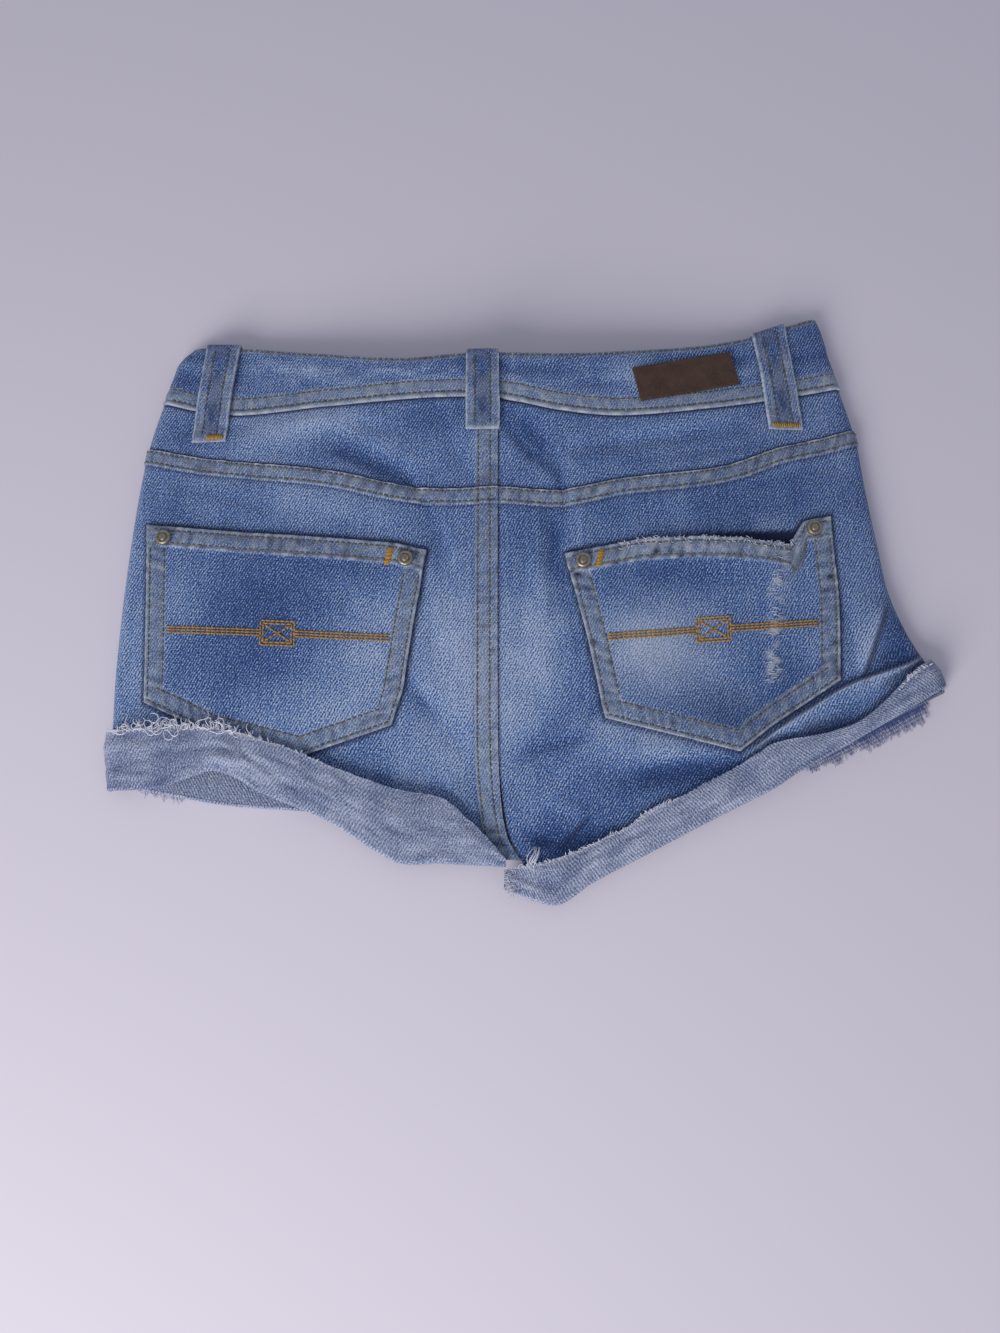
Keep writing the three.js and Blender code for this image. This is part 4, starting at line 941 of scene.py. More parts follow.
def mesh_piece(name: str, points: np.ndarray, faces: np.ndarray, uv: np.ndarray,
               materials: Sequence[bpy.types.Material], which: np.ndarray | int = 0,
               colours: dict[str, np.ndarray] | None = None, angle: float = 48) -> bpy.types.Object:
    """Makes an object from arrays.

    Args:
        name: the piece's name.
        points: its vertices, in millimetres.
        faces: its quads, or triangles.
        uv: a place in the cloth or along the yarn for each vertex, in millimetres.
        materials: its material slots.
        which: each face's slot.
        colours: named values for each vertex, one or four each.
        angle: edges sharper than this, in degrees, stay sharp.

    Returns:
        The object.
    """
    mesh = bpy.data.meshes.new(name)
    mesh.vertices.add(len(points))
    mesh.vertices.foreach_set("co", (points * MM).astype(np.float32).ravel())
    mesh.loops.add(faces.size)
    mesh.loops.foreach_set("vertex_index", faces.astype(np.int32).ravel())
    mesh.polygons.add(len(faces))
    mesh.polygons.foreach_set("loop_start", np.arange(0, faces.size, faces.shape[1], dtype=np.int32))
    for material in materials:
        mesh.materials.append(material)
    mesh.polygons.foreach_set("material_index", np.broadcast_to(which, len(faces)).astype(np.int32))
    mesh.update(calc_edges=True)
    layer = mesh.uv_layers.new(name="thread_mm")
    layer.data.foreach_set("uv", uv[faces.ravel()].astype(np.float32).ravel())
    for title, values in (colours or {}).items():
        if values.ndim == 2:
            mesh.attributes.new(title, "FLOAT_COLOR", "POINT").data.foreach_set("color", values.ravel())
        else:
            mesh.attributes.new(title, "FLOAT", "POINT").data.foreach_set("value", values.astype(np.float32))
    mesh.validate()
    piece = put(name, mesh)
    pick(piece)
    bpy.ops.object.shade_smooth_by_angle(angle=math.radians(angle))
    return piece


def pick(*pieces: bpy.types.Object) -> None:
    """Selects these objects and nothing else, and makes the first the active one."""
    bpy.ops.object.select_all(action="DESELECT")
    for piece in pieces:
        piece.select_set(True)
    bpy.context.view_layer.objects.active = pieces[0]


@dataclass
class Cloth:
    """One cut piece of cloth as a closed shell between an outer and an inner grid of points."""

    name: str
    node: str
    outer: np.ndarray
    inner: np.ndarray
    thread: np.ndarray
    dye: Dye
    materials: tuple[bpy.types.Material, bpy.types.Material]

    def build(self) -> bpy.types.Object:
        """Makes the mesh, its faces pointing outwards, the inner face in the second material.

        Returns:
            The object.
        """
        rows, columns = self.outer.shape[:2]
        count = rows * columns
        face = grid_faces(rows, columns)
        ring = np.concatenate([np.arange(columns), np.arange(1, rows) * columns + columns - 1,
                               count - 2 - np.arange(columns - 1), (np.arange(rows - 2, 0, -1)) * columns])
        after = np.roll(ring, -1)
        rim = np.stack([after, ring, ring + count, after + count], -1)
        faces = np.concatenate([face, face[:, ::-1] + count, rim])
        a, b, c, d = (self.outer.reshape(-1, 3)[face[:, k]] for k in range(4))
        facing = np.cross(c - a, d - b).sum(0)
        outward = (self.outer - self.inner).reshape(-1, 3).sum(0)
        if facing @ outward < 0:
            faces = faces[:, ::-1]
        which = np.concatenate([np.zeros(len(face)), np.ones(len(face)), np.zeros(len(rim))])
        uv = self.thread.reshape(-1, 2)
        dye = self.dye.table().reshape(-1, 4)
        points = np.concatenate([self.outer.reshape(-1, 3), self.inner.reshape(-1, 3)])
        inside = np.concatenate([dye[:, :1] * 0 + 0.5, dye[:, :1] * 0, dye[:, :1] * 0, dye[:, :1] * 0], 1)
        return mesh_piece(self.name, points, faces, np.concatenate([uv, uv]), self.materials, which,
                          {"dye": np.concatenate([dye, inside])})


def threads_of(points: np.ndarray) -> np.ndarray:
    """Measures a grid of points in the cloth's own millimetres, across and along the warp.

    Args:
        points: a grid of points in millimetres.

    Returns:
        Two distances for each point.
    """
    x, y, z = (points[..., k] for k in range(3))
    middle = points.shape[1] // 2
    step = np.hypot(np.diff(x, axis=1), np.diff(z, axis=1)) * np.sign(np.diff(x, axis=1) + 1e-9)
    run = np.concatenate([np.zeros((len(x), 1)), np.cumsum(step, axis=1)], 1)
    return np.stack([x[:, middle:middle + 1] + run - run[:, middle:middle + 1], y], -1)


@dataclass
class Stitches:
    """Rows of sewing, gathered into one piece; every stitch is a short length of yarn."""

    name: str
    lines: list[np.ndarray] = field(default_factory=list)
    normals: list[np.ndarray] = field(default_factory=list)
    tones: list[np.ndarray] = field(default_factory=list)
    lift: tuple[float, ...] = (-0.34, 0.0, 0.13, 0.0, -0.34)
    spread: tuple[float, ...] = (-1.0, -0.72, 0.0, 0.72, 1.0)

    def row(self, surface: Surface, path: np.ndarray, pitch: float = 3.1, fill: float = 0.8,
            tone: float = 0.3, vary: float = 0.25, seed: int = 1) -> None:
        """Sews a row along a path.

        Args:
            surface: gives points and normals for the path's own coordinates and a lift.
            path: the coordinates it runs through.
            pitch: the length of a stitch with its gap.
            fill: the share of the pitch that shows.
            tone: the yarn's tone, from 0 to 1.
            vary: how much the tone changes from stitch to stitch.
            seed: picks the changes.
        """
        fine = np.linspace(0, 1, 400)
        at = np.linspace(0, 1, len(path))
        dense = np.stack([np.interp(fine, at, path[:, 0]), np.interp(fine, at, path[:, 1])], -1)
        points, _ = surface(dense[:, 0], dense[:, 1], 0.0)
        run = np.concatenate([[0], np.cumsum(np.linalg.norm(np.diff(points, axis=0), axis=1))])
        count = max(int(run[-1] / pitch), 1)
        centre = (np.arange(count) + 0.5) * run[-1] / count
        want = centre[:, None] + np.array(self.spread) * (run[-1] / count * fill / 2)
        a, b = np.interp(want, run, dense[:, 0]), np.interp(want, run, dense[:, 1])
        found, normal = surface(a, b, np.array(self.lift) + 0.12)
        random = np.random.default_rng(seed)
        self.lines.append(found)
        self.normals.append(normal)
        self.tones.append(tone + vary * (random.random(count) - 0.5))

    def build(self, material: bpy.types.Material, radius: float = 0.34) -> None:
        """Makes all the rows one mesh of tubes and says that it rides on the garment.

        Args:
            material: the threads' finish.
            radius: a radius, in millimetres.
        """
        widths = radius * np.array([0.55, 0.95, 1.0, 0.95, 0.55])
        piece = tubes(self.name, np.concatenate(self.lines), np.concatenate(self.normals), widths,
                      np.concatenate(self.tones), material, 5)
        dress(piece)


def tubes(name: str, lines: np.ndarray, normals: np.ndarray, widths: np.ndarray, tones: np.ndarray,
          material: bpy.types.Material, sides: int) -> bpy.types.Object:
    """Makes many closed tubes one object.

    Args:
        name: the piece's name.
        lines: tubes by points by three, in millimetres.
        normals: the way that is up at each point.
        widths: the radius at each point along a tube.
        tones: a value for each tube, or for each point of each.
        material: what they are made of.
        sides: how many sides a tube has.

    Returns:
        The object.
    """
    count, long = lines.shape[:2]
    along = np.gradient(lines, axis=1)
    along /= np.maximum(np.linalg.norm(along, axis=-1, keepdims=True), 1e-9)
    across = np.cross(along, normals)
    across /= np.maximum(np.linalg.norm(across, axis=-1, keepdims=True), 1e-9)
    over = np.cross(across, along)
    turn = np.arange(sides) * 2 * np.pi / sides
    ring = across[:, :, None] * np.cos(turn)[:, None] + over[:, :, None] * np.sin(turn)[:, None]
    points = lines[:, :, None] + ring * np.asarray(widths)[..., None, None]
    first = np.arange(count)[:, None, None, None] * long * sides
    i, k = np.arange(long - 1)[:, None], np.arange(sides)[None, :]
    quad = np.stack([i * sides + k, i * sides + (k + 1) % sides, (i + 1) * sides + (k + 1) % sides,
                     (i + 1) * sides + k], -1)
    body = (first + quad).reshape(-1, 4)
    cap = np.array([[0, s + 1, s + 2] for s in range(sides - 2)])
    start = (np.arange(count)[:, None, None] * long * sides + cap[:, ::-1]).reshape(-1, 3)
    end = (np.arange(count)[:, None, None] * long * sides + (long - 1) * sides + cap).reshape(-1, 3)
    triangles = np.concatenate([body[:, [0, 1, 2]], body[:, [0, 2, 3]], start, end])[:, ::-1]
    steps = np.linalg.norm(np.diff(lines, axis=1), axis=-1)
    run = np.concatenate([np.zeros((count, 1)), np.cumsum(steps, 1)], 1)
    uv = np.stack(np.broadcast_arrays(run[:, :, None], turn[None, None, :] / (2 * np.pi)), -1).reshape(-1, 2)
    tone = np.asarray(tones, float)
    tone = tone[:, None] if tone.ndim == 1 else tone
    tone = np.broadcast_to(tone[:, :, None], (count, long, sides)).ravel()
    return mesh_piece(name, points.reshape(-1, 3), triangles, uv, [material], 0, {"tone": tone}, 80)


def wisps(name: str, surface: Surface, start: np.ndarray, end: np.ndarray, rise: float,
          material: bpy.types.Material, radius: float = 0.2, seed: int = 1, bow: float = 0.6,
          tone: float = 0.75) -> None:
    """Lays short loose threads on a cloth, fixed at both ends or worn through at one.

    Args:
        name: the piece's name.
        surface: gives points and normals for a place and a lift.
        start: where each thread starts, one row of two each.
        end: where each ends.
        rise: how far they arch off the cloth.
        material: the yarn.
        radius: half their thickness.
        seed: picks their curves.
        bow: how far they curve aside, as a share of their length.
        tone: how pale they are.
    """
    random = np.random.default_rng(seed)
    t = np.linspace(0, 1, 6)
    way = (end - start)[:, None]
    curve = (random.random((len(start), 1)) - 0.5) * bow * np.sin(np.pi * t)
    place = start[:, None] + way * t[:, None] + np.stack([-way[..., 1], way[..., 0]], -1) * curve[..., None]
    arch = rise * np.sin(np.pi * t) * (0.4 + random.random((len(start), 1)))
    lines, normals = surface(place[..., 0], place[..., 1], 0.15 + arch)
    widths = radius * np.array([0.6, 0.9, 1, 1, 0.9, 0.6])
    tones = tone + 0.3 * random.random(len(start))
    dress(tubes(name, lines, normals, widths, tones, material, 4))


def rounded(away: np.ndarray, radius: float) -> np.ndarray:
    """Returns how far a face has turned down at a distance from its rounded edge.

    Args:
        away: distances from the edge, in millimetres.
        radius: a radius, in millimetres.

    Returns:
        One value for each place.
    """
    if radius <= 0:
        return 0 * away
    short = np.clip(radius - away, 0, radius)
    return radius - np.sqrt(radius * radius - short * short)


@dataclass(frozen=True)
class Seam:
    """A strip of doubled cloth beside a line, roped and rubbed by washing."""

    width: float
    rows: tuple[float, ...]
    rise: float = FELL_RISE
    rope: float = 0.3
    pitch: float = 7.5
    seed: int = 1
    grey: float = 0.62
    white: float = 0.55
    ink: float = 0.5

    def wave(self, away: np.ndarray, run: np.ndarray) -> np.ndarray:
        """Returns the roping, from -1 in the hollows to 1 on the humps.

        Args:
            away: distances from the edge, in millimetres.
            run: distances along the edge, in millimetres.

        Returns:
            One value for each place.
        """
        shift = uneven(run, away * 0.4, 12, self.seed)
        strength = 0.6 + 0.4 * uneven(run, 0 * run, 17, self.seed + 1)
        roped = np.sin(2 * np.pi * run / self.pitch + 3.6 * shift + 0.25 * away) * strength
        return np.clip(0.6 * roped + 0.6 * uneven(run, away, 3.6, self.seed + 5), -1, 1)

    def reach(self, away: np.ndarray) -> np.ndarray:
        """Returns 1 on the strip and 0 off it."""
        return smooth((self.width + 0.9 - away) / 0.9) * smooth((away + 0.6) / 0.6)

    def lift(self, away: np.ndarray, run: np.ndarray) -> np.ndarray:
        """Returns how far the strip stands above the cloth beside it.

        Args:
            away: distances from the edge, in millimetres.
            run: distances along the edge, in millimetres.

        Returns:
            One value for each place.
        """
        held = self.reach(away)
        groove = sum(bump(away - row, 1.0) for row in self.rows)
        near = smooth((self.width + 4 - away) / 5) * smooth((away + 3) / 3)
        return self.rise * held + self.rope * self.wave(away, run) * near - 0.3 * groove * held

    def rub(self, away: np.ndarray, run: np.ndarray) -> tuple[np.ndarray, np.ndarray, np.ndarray]:
        """Returns the grey wear, the white wear and the dye left dark.

        Args:
            away: distances from the edge, in millimetres.
            run: distances along the edge, in millimetres.

        Returns:
            Three shares for each place.
        """
        hump = 0.5 + 0.5 * self.wave(away, run)
        held = self.reach(away)
        rough = 0.75 + 0.5 * uneven(run, away, 2.6, self.seed + 2)
        grey = self.grey * held * (0.45 + 0.55 * hump) * rough
        white = self.white * (bump(away - 0.5, 1.1) + 0.5 * bump(away - self.width, 1.2)) * hump * rough
        return grey, white, self.ink * held * (1 - hump) ** 2 * rough


@dataclass
class Laid:
    """A piece of cloth that lies on the form: its thickness, its lift above the form and its seams."""

    form: Form
    wash: Wash
    layer: Layer = Layer.BACK
    base: float = 0.0
    thick: float = DENIM
    seams: tuple[tuple[Seam, Callable, Callable], ...] = ()
    zones: tuple[tuple[float, ...], ...] = ()
    extra: Callable | None = None
    # shade adds painted shade to the dark channel; tint shifts the fade and also carries painted shade.
    shade: Callable | None = None
    tint: Callable | None = None
    rubbed: Callable | None = None
    hems: tuple[float, float, float, float] = (0.0, 0.0, 0.0, 0.0)
    frayed: tuple[float, float, float, float] = (0.0, 0.0, 0.0, 0.0)

    def lift(self, x: np.ndarray, y: np.ndarray) -> np.ndarray:
        """Returns how far the outer face stands above the form.

        Args:
            x: places across the garment, in millimetres.
            y: places up the garment, in millimetres.

        Returns:
            One value for each place.
        """
        total = self.base + 0 * x
        for seam, away, run in self.seams:
            total = total + seam.lift(away(x, y), run(x, y))
        return total + self.extra(x, y) if self.extra else total

    def surface(self, x: np.ndarray, y: np.ndarray,
                over: float | np.ndarray) -> tuple[np.ndarray, np.ndarray]:
        """Returns points that lie over the outer face, and the normals there."""
        points, normals = self.form.face(self.layer, x, y)
        return points + normals * (self.lift(x, y) + over)[..., None], normals

    def cloth(self, name: str, cut: Cut, u: np.ndarray, v: np.ndarray,
              materials: tuple[bpy.types.Material, bpy.types.Material]) -> Cloth:
        """Cuts the cloth.

        Args:
            name: the CAD node that it replaces, which is also its own name with a word added.
            cut: its shape seen from above.
            u: the shares across at each knot.
            v: the shares up at each knot.
            materials: the outer face's and the inner face's.

        Returns:
            The shell.
        """
        x, y = cut.plan(u, v)
        outer, normal = self.surface(x, y, 0.0)
        inner = outer - normal * self.thick
        tall, wide = cut.height(u), cut.length(v)
        edges = (v * tall, (1 - v) * tall, u * wide, (1 - u) * wide)
        drop = sum(rounded(away, radius) for away, radius in zip(edges, self.hems))
        outer = outer - normal * drop[..., None]
        fade = self.wash.fade(x, y, self.zones)
        # Painted shade: fold hollows are darkened and ridges paled, partly as stone wash wears the high
        # places.
        if self.layer is Layer.BACK:
            folds = self.form.folds(x, y)
            fade = fade + 0.1 * np.minimum(folds, 0) + 0.07 * np.maximum(folds, 0)
        wear, white, ink = 0 * x, 0 * x, 0 * x
        for seam, away, run in self.seams:
            grey, rubbed, left = seam.rub(away(x, y), run(x, y))
            wear, white, ink = np.maximum(wear, grey), np.maximum(white, rubbed), np.maximum(ink, left)
        for away, share in zip(edges, self.frayed):
            white = np.maximum(white, share * bump(away, 1.9) * (0.8 + 0.5 * uneven(x, y, 3, 15)))
        # Painted shade: shadow lines and shadows mixed into the dark channel.
        if self.shade:
            ink = np.maximum(ink, self.shade(x, y))
        # The tint adds painted shade on the band's wrinkles and on the right roll and hip flap, with the
        # roll's paler wear.
        if self.tint:
            fade = fade + self.tint(x, y)
        if self.rubbed:
            white = np.maximum(white, self.rubbed(x, y))
        dye = Dye(fade, wear, white, ink)
        return Cloth(name + "_cloth", name, outer, inner, threads_of(outer), dye, materials)


@dataclass(frozen=True)
class Flat:
    """The size a piece was cut to, in metres, and its area where it isn't a rectangle."""

    width: float
    length: float
    area: float | None = None


CUTS = {
    "back_panel_left": Flat(0.208, 0.205, 0.0364), "back_panel_right": Flat(0.240, 0.222, 0.0392),
    "back_yoke_left": Flat(0.202, 0.048, 0.0076), "back_yoke_right": Flat(0.204, 0.046, 0.0073),
    "front_panel_left": Flat(0.206, 0.225, 0.0400), "front_panel_right": Flat(0.236, 0.225, 0.0408),
    "waistband_back": Flat(0.395, 0.040, 0.0138), "waistband_front_left": Flat(0.190, 0.040, 0.0070),
    "waistband_front_right": Flat(0.195, 0.040, 0.0075), "back_pocket_left": Flat(0.150, 0.112, 0.0148),
    "back_pocket_right": Flat(0.143, 0.120, 0.0131), "belt_loop_left": Flat(0.019, 0.062),
    "belt_loop_centre": Flat(0.018, 0.052), "belt_loop_right": Flat(0.019, 0.066),
    "cuff_back_left": Flat(0.212, 0.042, 0.0068), "cuff_back_right": Flat(0.245, 0.034, 0.0051),
    "cuff_front_left": Flat(0.208, 0.024, 0.0047), "cuff_front_right": Flat(0.240, 0.024, 0.0053),
    "waist_patch": Flat(0.057, 0.020), "fly_zip": Flat(0.026, 0.092),
}


def lay(cloth: Cloth) -> None:
    """Builds a cloth and puts it on the garment in place of its CAD part.

    Args:
        cloth: the shell.
    """
    piece, cut = cloth.build(), CUTS[cloth.node]
    dress(piece, cloth.node)


@dataclass
class Assembly:
    """What every sub-assembly is made from: the garment's form, its wash and its finishes."""

    form: Form
    wash: Wash
    wardrobe: Wardrobe


@dataclass
class Body(Assembly):
    """The back panels and yokes, and the front panels that lie under them."""

    yoke_fell: Seam = Seam(YOKE_FELL, (1.4, 7.4), rope=0.45, pitch=7.8, seed=21, grey=0.85, white=0.8,
                           ink=0.8)
    centre_fell: Seam = Seam(CENTRE_FELL, (4.3, 10.7), rope=0.36, pitch=8.5, seed=23, white=0.6, ink=0.7)
    panel_end: float = 2.2
    front_end: float = 1.25

    def below_yoke(self, x: np.ndarray, y: np.ndarray) -> np.ndarray:
        """Returns how far a place is below the yoke seam."""
        return (self.form.yoke(x) - y) / self.form.yoke.slant(x)

    def left_of_centre(self, x: np.ndarray, y: np.ndarray) -> np.ndarray:
        """Returns how far a place is to the left of the centre seam."""
        return (self.form.centre(y) - x) / self.form.centre.slant(y)

    def seams(self, side: Side, yoke: bool) -> tuple[tuple[Seam, Callable, Callable], ...]:
        """Returns the seams of a panel, or of a yoke, with their distances and runs.

        Args:
            side: the side of the garment.
            yoke: whether it is the yoke's.

        Returns:
            A seam, its distances and its runs, for each seam.
        """
        found = [] if yoke else [(self.yoke_fell, self.below_yoke, lambda x, y: x)]
        if side is Side.LEFT:
            found.append((self.centre_fell, self.left_of_centre, lambda x, y: y))
        return tuple(found)

    def painted_shade_beside_pocket(self, x: np.ndarray, y: np.ndarray) -> np.ndarray:
        """Returns painted shade on the panel: shadow lines along the pockets' outlines, the fells and the
        laps' feet, the shadow in the right pocket's gaping mouth, partly dye kept dark under its hem, and the
        shadows above the right cuff and roll.

        Args:
            x: places across the garment, in millimetres.
            y: places up the garment, in millimetres.

        Returns:
            One value for each place.
        """
        gape = smooth((x - 60) / 40) * smooth((145.5 - x) / 2) * smooth((y - 18) / 3)
        above_cuff, above_roll = y - self.form.cuff_right(x), y - self.form.roll(x)
        # Each mark is painted shade: a shadow line or shadow cast by a raised edge.
        marks = [
            0.55 * bump(self.below_yoke(x, y) - YOKE_FELL - 1.4, 1.2),
            0.5 * bump(x - self.form.centre(y) - 0.6, 1.1),
            0.35 * bump(self.left_of_centre(x, y) - CENTRE_FELL - 1.2, 1.1),
            gape * smooth((mix(30.5, 34.4, (x - 60) / 84) - y) / 1.2),
            0.75 * self.form.laps(x, y)[1],
            0.5 * bump(above_cuff - 1.2, 3) * smooth((x - 104) / 20),
            0.72 * bump(above_cuff - 3, 6) * smooth((x - 134) / 12) * smooth((174 - x) / 14),
            0.6 * bump(above_roll - 1.6, 2.4) * smooth((x - 104) / 16),
        ]
        marks += [0.9 * bump(shape.inside(x, y) + 0.6, 2.0) for shape in Pockets.shapes]
        return np.maximum.reduce(marks)

    def roll_rub(self, x: np.ndarray, y: np.ndarray) -> np.ndarray:
        """Returns the white wear along the roll's crisp edge."""
        edge = bump(self.form.roll(x) - y - 0.8, 1.5) * smooth((x - 108) / 12)
        return 0.5 * edge * (0.8 + 0.5 * uneven(x, y, 4, 25))

    def roll_tint_and_painted_shade(self, x: np.ndarray, y: np.ndarray) -> np.ndarray:
        """Returns how much paler the roll is than the leg near its top, its darkening towards the cuff, which
        is painted shade, and the painted shade on the hip's flap.

        Args:
            x: places across the garment, in millimetres.
            y: places up the garment, in millimetres.

        Returns:
            One value for each place.
        """
        top, low = self.form.roll(x), self.form.cuff_right(x)
        inside = smooth((top - y) / 2) * smooth((x - 100) / 20)
        share = np.clip((top - y) / np.maximum(top - low, 4), 0, 1)
        flap = smooth((x - mix(171, 192, (y + 54) / 54)) / 3) * smooth((y - top) / 2) * smooth((4 - y) / 16)
        return inside * mix(0.16, -0.04, smooth(share * 1.2)) - 0.16 * flap

    def painted_shade_beside_band(self, x: np.ndarray, y: np.ndarray) -> np.ndarray:
        """Returns painted shade on the yoke: the shadow under the band's edge, the shadow lines along the
        fell below and the centre seam, and the laps' feet.

        Args:
            x: places across the garment, in millimetres.
            y: places up the garment, in millimetres.

        Returns:
            One value for each place.
        """
        under = (self.form.waist_seam(x) - y) / self.form.waist_seam.slant(x)
        return np.maximum.reduce([
            0.95 * bump(under - 0.3, 1.5), 0.85 * bump(self.below_yoke(x, y) + 0.3, 1.1),
            0.6 * self.form.laps(x, y)[1], 0.5 * bump(x - self.form.centre(y) - 0.6, 1.1),
        ])

    def panel(self, side: Side) -> Laid:
        """Returns a leg's back panel as it lies.

        Args:
            side: the side of the garment.

        Returns:
            The cloth as it lies.
        """
        right = side is Side.RIGHT
        return Laid(self.form, self.wash, seams=self.seams(side, False), zones=self.wash.zones,
                    shade=self.painted_shade_beside_pocket, tint=self.roll_tint_and_painted_shade if right else None,
                    rubbed=self.roll_rub if right else None)

    def yoke(self, side: Side) -> Laid:
        """Returns a yoke as it lies."""
        return Laid(self.form, self.wash, seams=self.seams(side, True), zones=self.wash.zones,
                    shade=self.painted_shade_beside_band)

    def edges(self, side: Side) -> tuple[Line, Line, float]:
        """Returns a side's outline and fold line, and which way the centre gap goes.

        Args:
            side: the side of the garment.

        Returns:
            The outline, the fold line and the gap's sign.
        """
        if side is Side.LEFT:
            return self.form.left, self.form.hem_left, -HALF_SEAM
        return self.form.right, self.form.hem_right, HALF_SEAM

    def build_panel(self, side: Side) -> None:
        """Makes a back panel, with its grid drawn to the seams and to the roll's crease.

        Args:
            side: the side of the garment.
        """
        outline, hem, gap = self.edges(side)
        crease = self.form.cuff_left if side is Side.LEFT else self.form.roll
        cut = Cut(hem, self.form.yoke, outline, self.form.centre, self.panel_end, HALF_SEAM,
                  gap)
        ends = CENTRE_STEPS if side is Side.LEFT else SEAM_STEPS

        def rows(u: np.ndarray) -> np.ndarray:
            """Returns the rows' shares: bottom to crease, over the crease, then up to the fell.

            Args:
                u: shares across the piece, from 0 to 1.

            Returns:
                The shares.
            """
            tall, fold = cut.height(u), 0 * u
            for _ in range(6):
                x, y = cut.plan(u, fold)
                fold = fold + (crease(x) - y) / tall
            fold = np.clip(fold, 0.04, 0.5)[..., None]
            over = np.linspace(-2.4, 2.4, 13) / tall[..., None]
            low = (fold + over[..., :1]) * np.linspace(0, 1, 10)[:-1]
            top = 1 - np.array(FELL_STEPS) / tall[..., None]
            start = fold + over[..., -1:]
            even = start + (top[..., :1] - start) * np.linspace(0, 1, 84)[1:-1]
            return np.concatenate([low, fold + over, even, top], -1)

        u, v = cut.net(lambda v: ticks(cut.length(v), SIDE_STEPS, ends, 118), rows)
        cloth = self.panel(side).cloth(f"back_panel_{side.value}", cut, u, v, self.wardrobe.cloth)
        lay(cloth)

    def build_yoke(self, side: Side) -> None:
        """Makes a yoke.

        Args:
            side: the side of the garment.
        """
        outline, _, gap = self.edges(side)
        form = self.form
        cut = Cut(form.yoke, form.waist_seam, outline, form.centre, HALF_SEAM, HALF_SEAM, gap)
        ends = CENTRE_STEPS if side is Side.LEFT else SEAM_STEPS
        u, v = cut.net(lambda v: ticks(cut.length(v), SIDE_STEPS, ends, 118),
                       lambda u: ticks(cut.height(u), EDGE_STEPS[::-1], EDGE_STEPS, 24))
        cloth = self.yoke(side).cloth(f"back_yoke_{side.value}", cut, u, v, self.wardrobe.cloth)
        lay(cloth)

    def build_front(self, side: Side) -> None:
        """Makes a front panel, flat on the sheet.

        Args:
            side: the side of the garment.
        """
        outline, _, gap = self.edges(side)
        form = self.form
        hem = form.front_hem_left if side is Side.LEFT else form.front_hem_right
        cut = Cut(hem, form.front_waist_seam, outline, upright(FLY_X), self.front_end,
                  HALF_SEAM, gap)
        u, v = cut.net(lambda v: ticks(cut.length(v), SIDE_STEPS, EDGE_STEPS, 60),
                       lambda u: ticks(cut.height(u), EDGE_STEPS[::-1], EDGE_STEPS, 62))
        laid = Laid(form, self.wash, Layer.FRONT)
        lay(laid.cloth(f"front_panel_{side.value}", cut, u, v, self.wardrobe.cloth))

    def sew(self, sewing: "Sewing") -> None:
        """Sews the twin rows of the fells.

        Args:
            sewing: the groups of stitches that the rows join.
        """
        form = self.form
        for side, x0, x1 in ((Side.LEFT, -211, -17), (Side.RIGHT, -14.5, 184)):
            laid = self.panel(side)
            for number, row in enumerate(self.yoke_fell.rows):
                path = beside(form.yoke, np.linspace(x0, x1, 60), row)
                sewing.fells.row(laid.surface, path, seed=30 + number)
        for laid, low, high in ((self.panel(Side.LEFT), -134, 56.0), (self.yoke(Side.LEFT), 57.5, 105)):
            for number, row in enumerate(self.centre_fell.rows):
                path = beside(form.centre, np.linspace(low, high, 60), row)[:, ::-1]
                sewing.fells.row(laid.surface, path, seed=40 + number)

    def build(self, sewing: "Sewing") -> None:
        """Makes every panel and sews the fells.

        Args:
            sewing: the groups of stitches that the rows join.
        """
        for side in Side:
            self.build_panel(side)
            self.build_yoke(side)
            self.build_front(side)
        self.sew(sewing)


@dataclass(frozen=True)
class Loop:
    """A belt loop: where its top and bottom are, its width, and what it passes over."""

    name: str
    top_x: float
    bottom_x: float
    bottom_y: float
    width: float
    over: float = 0.0
    tack: bool = True


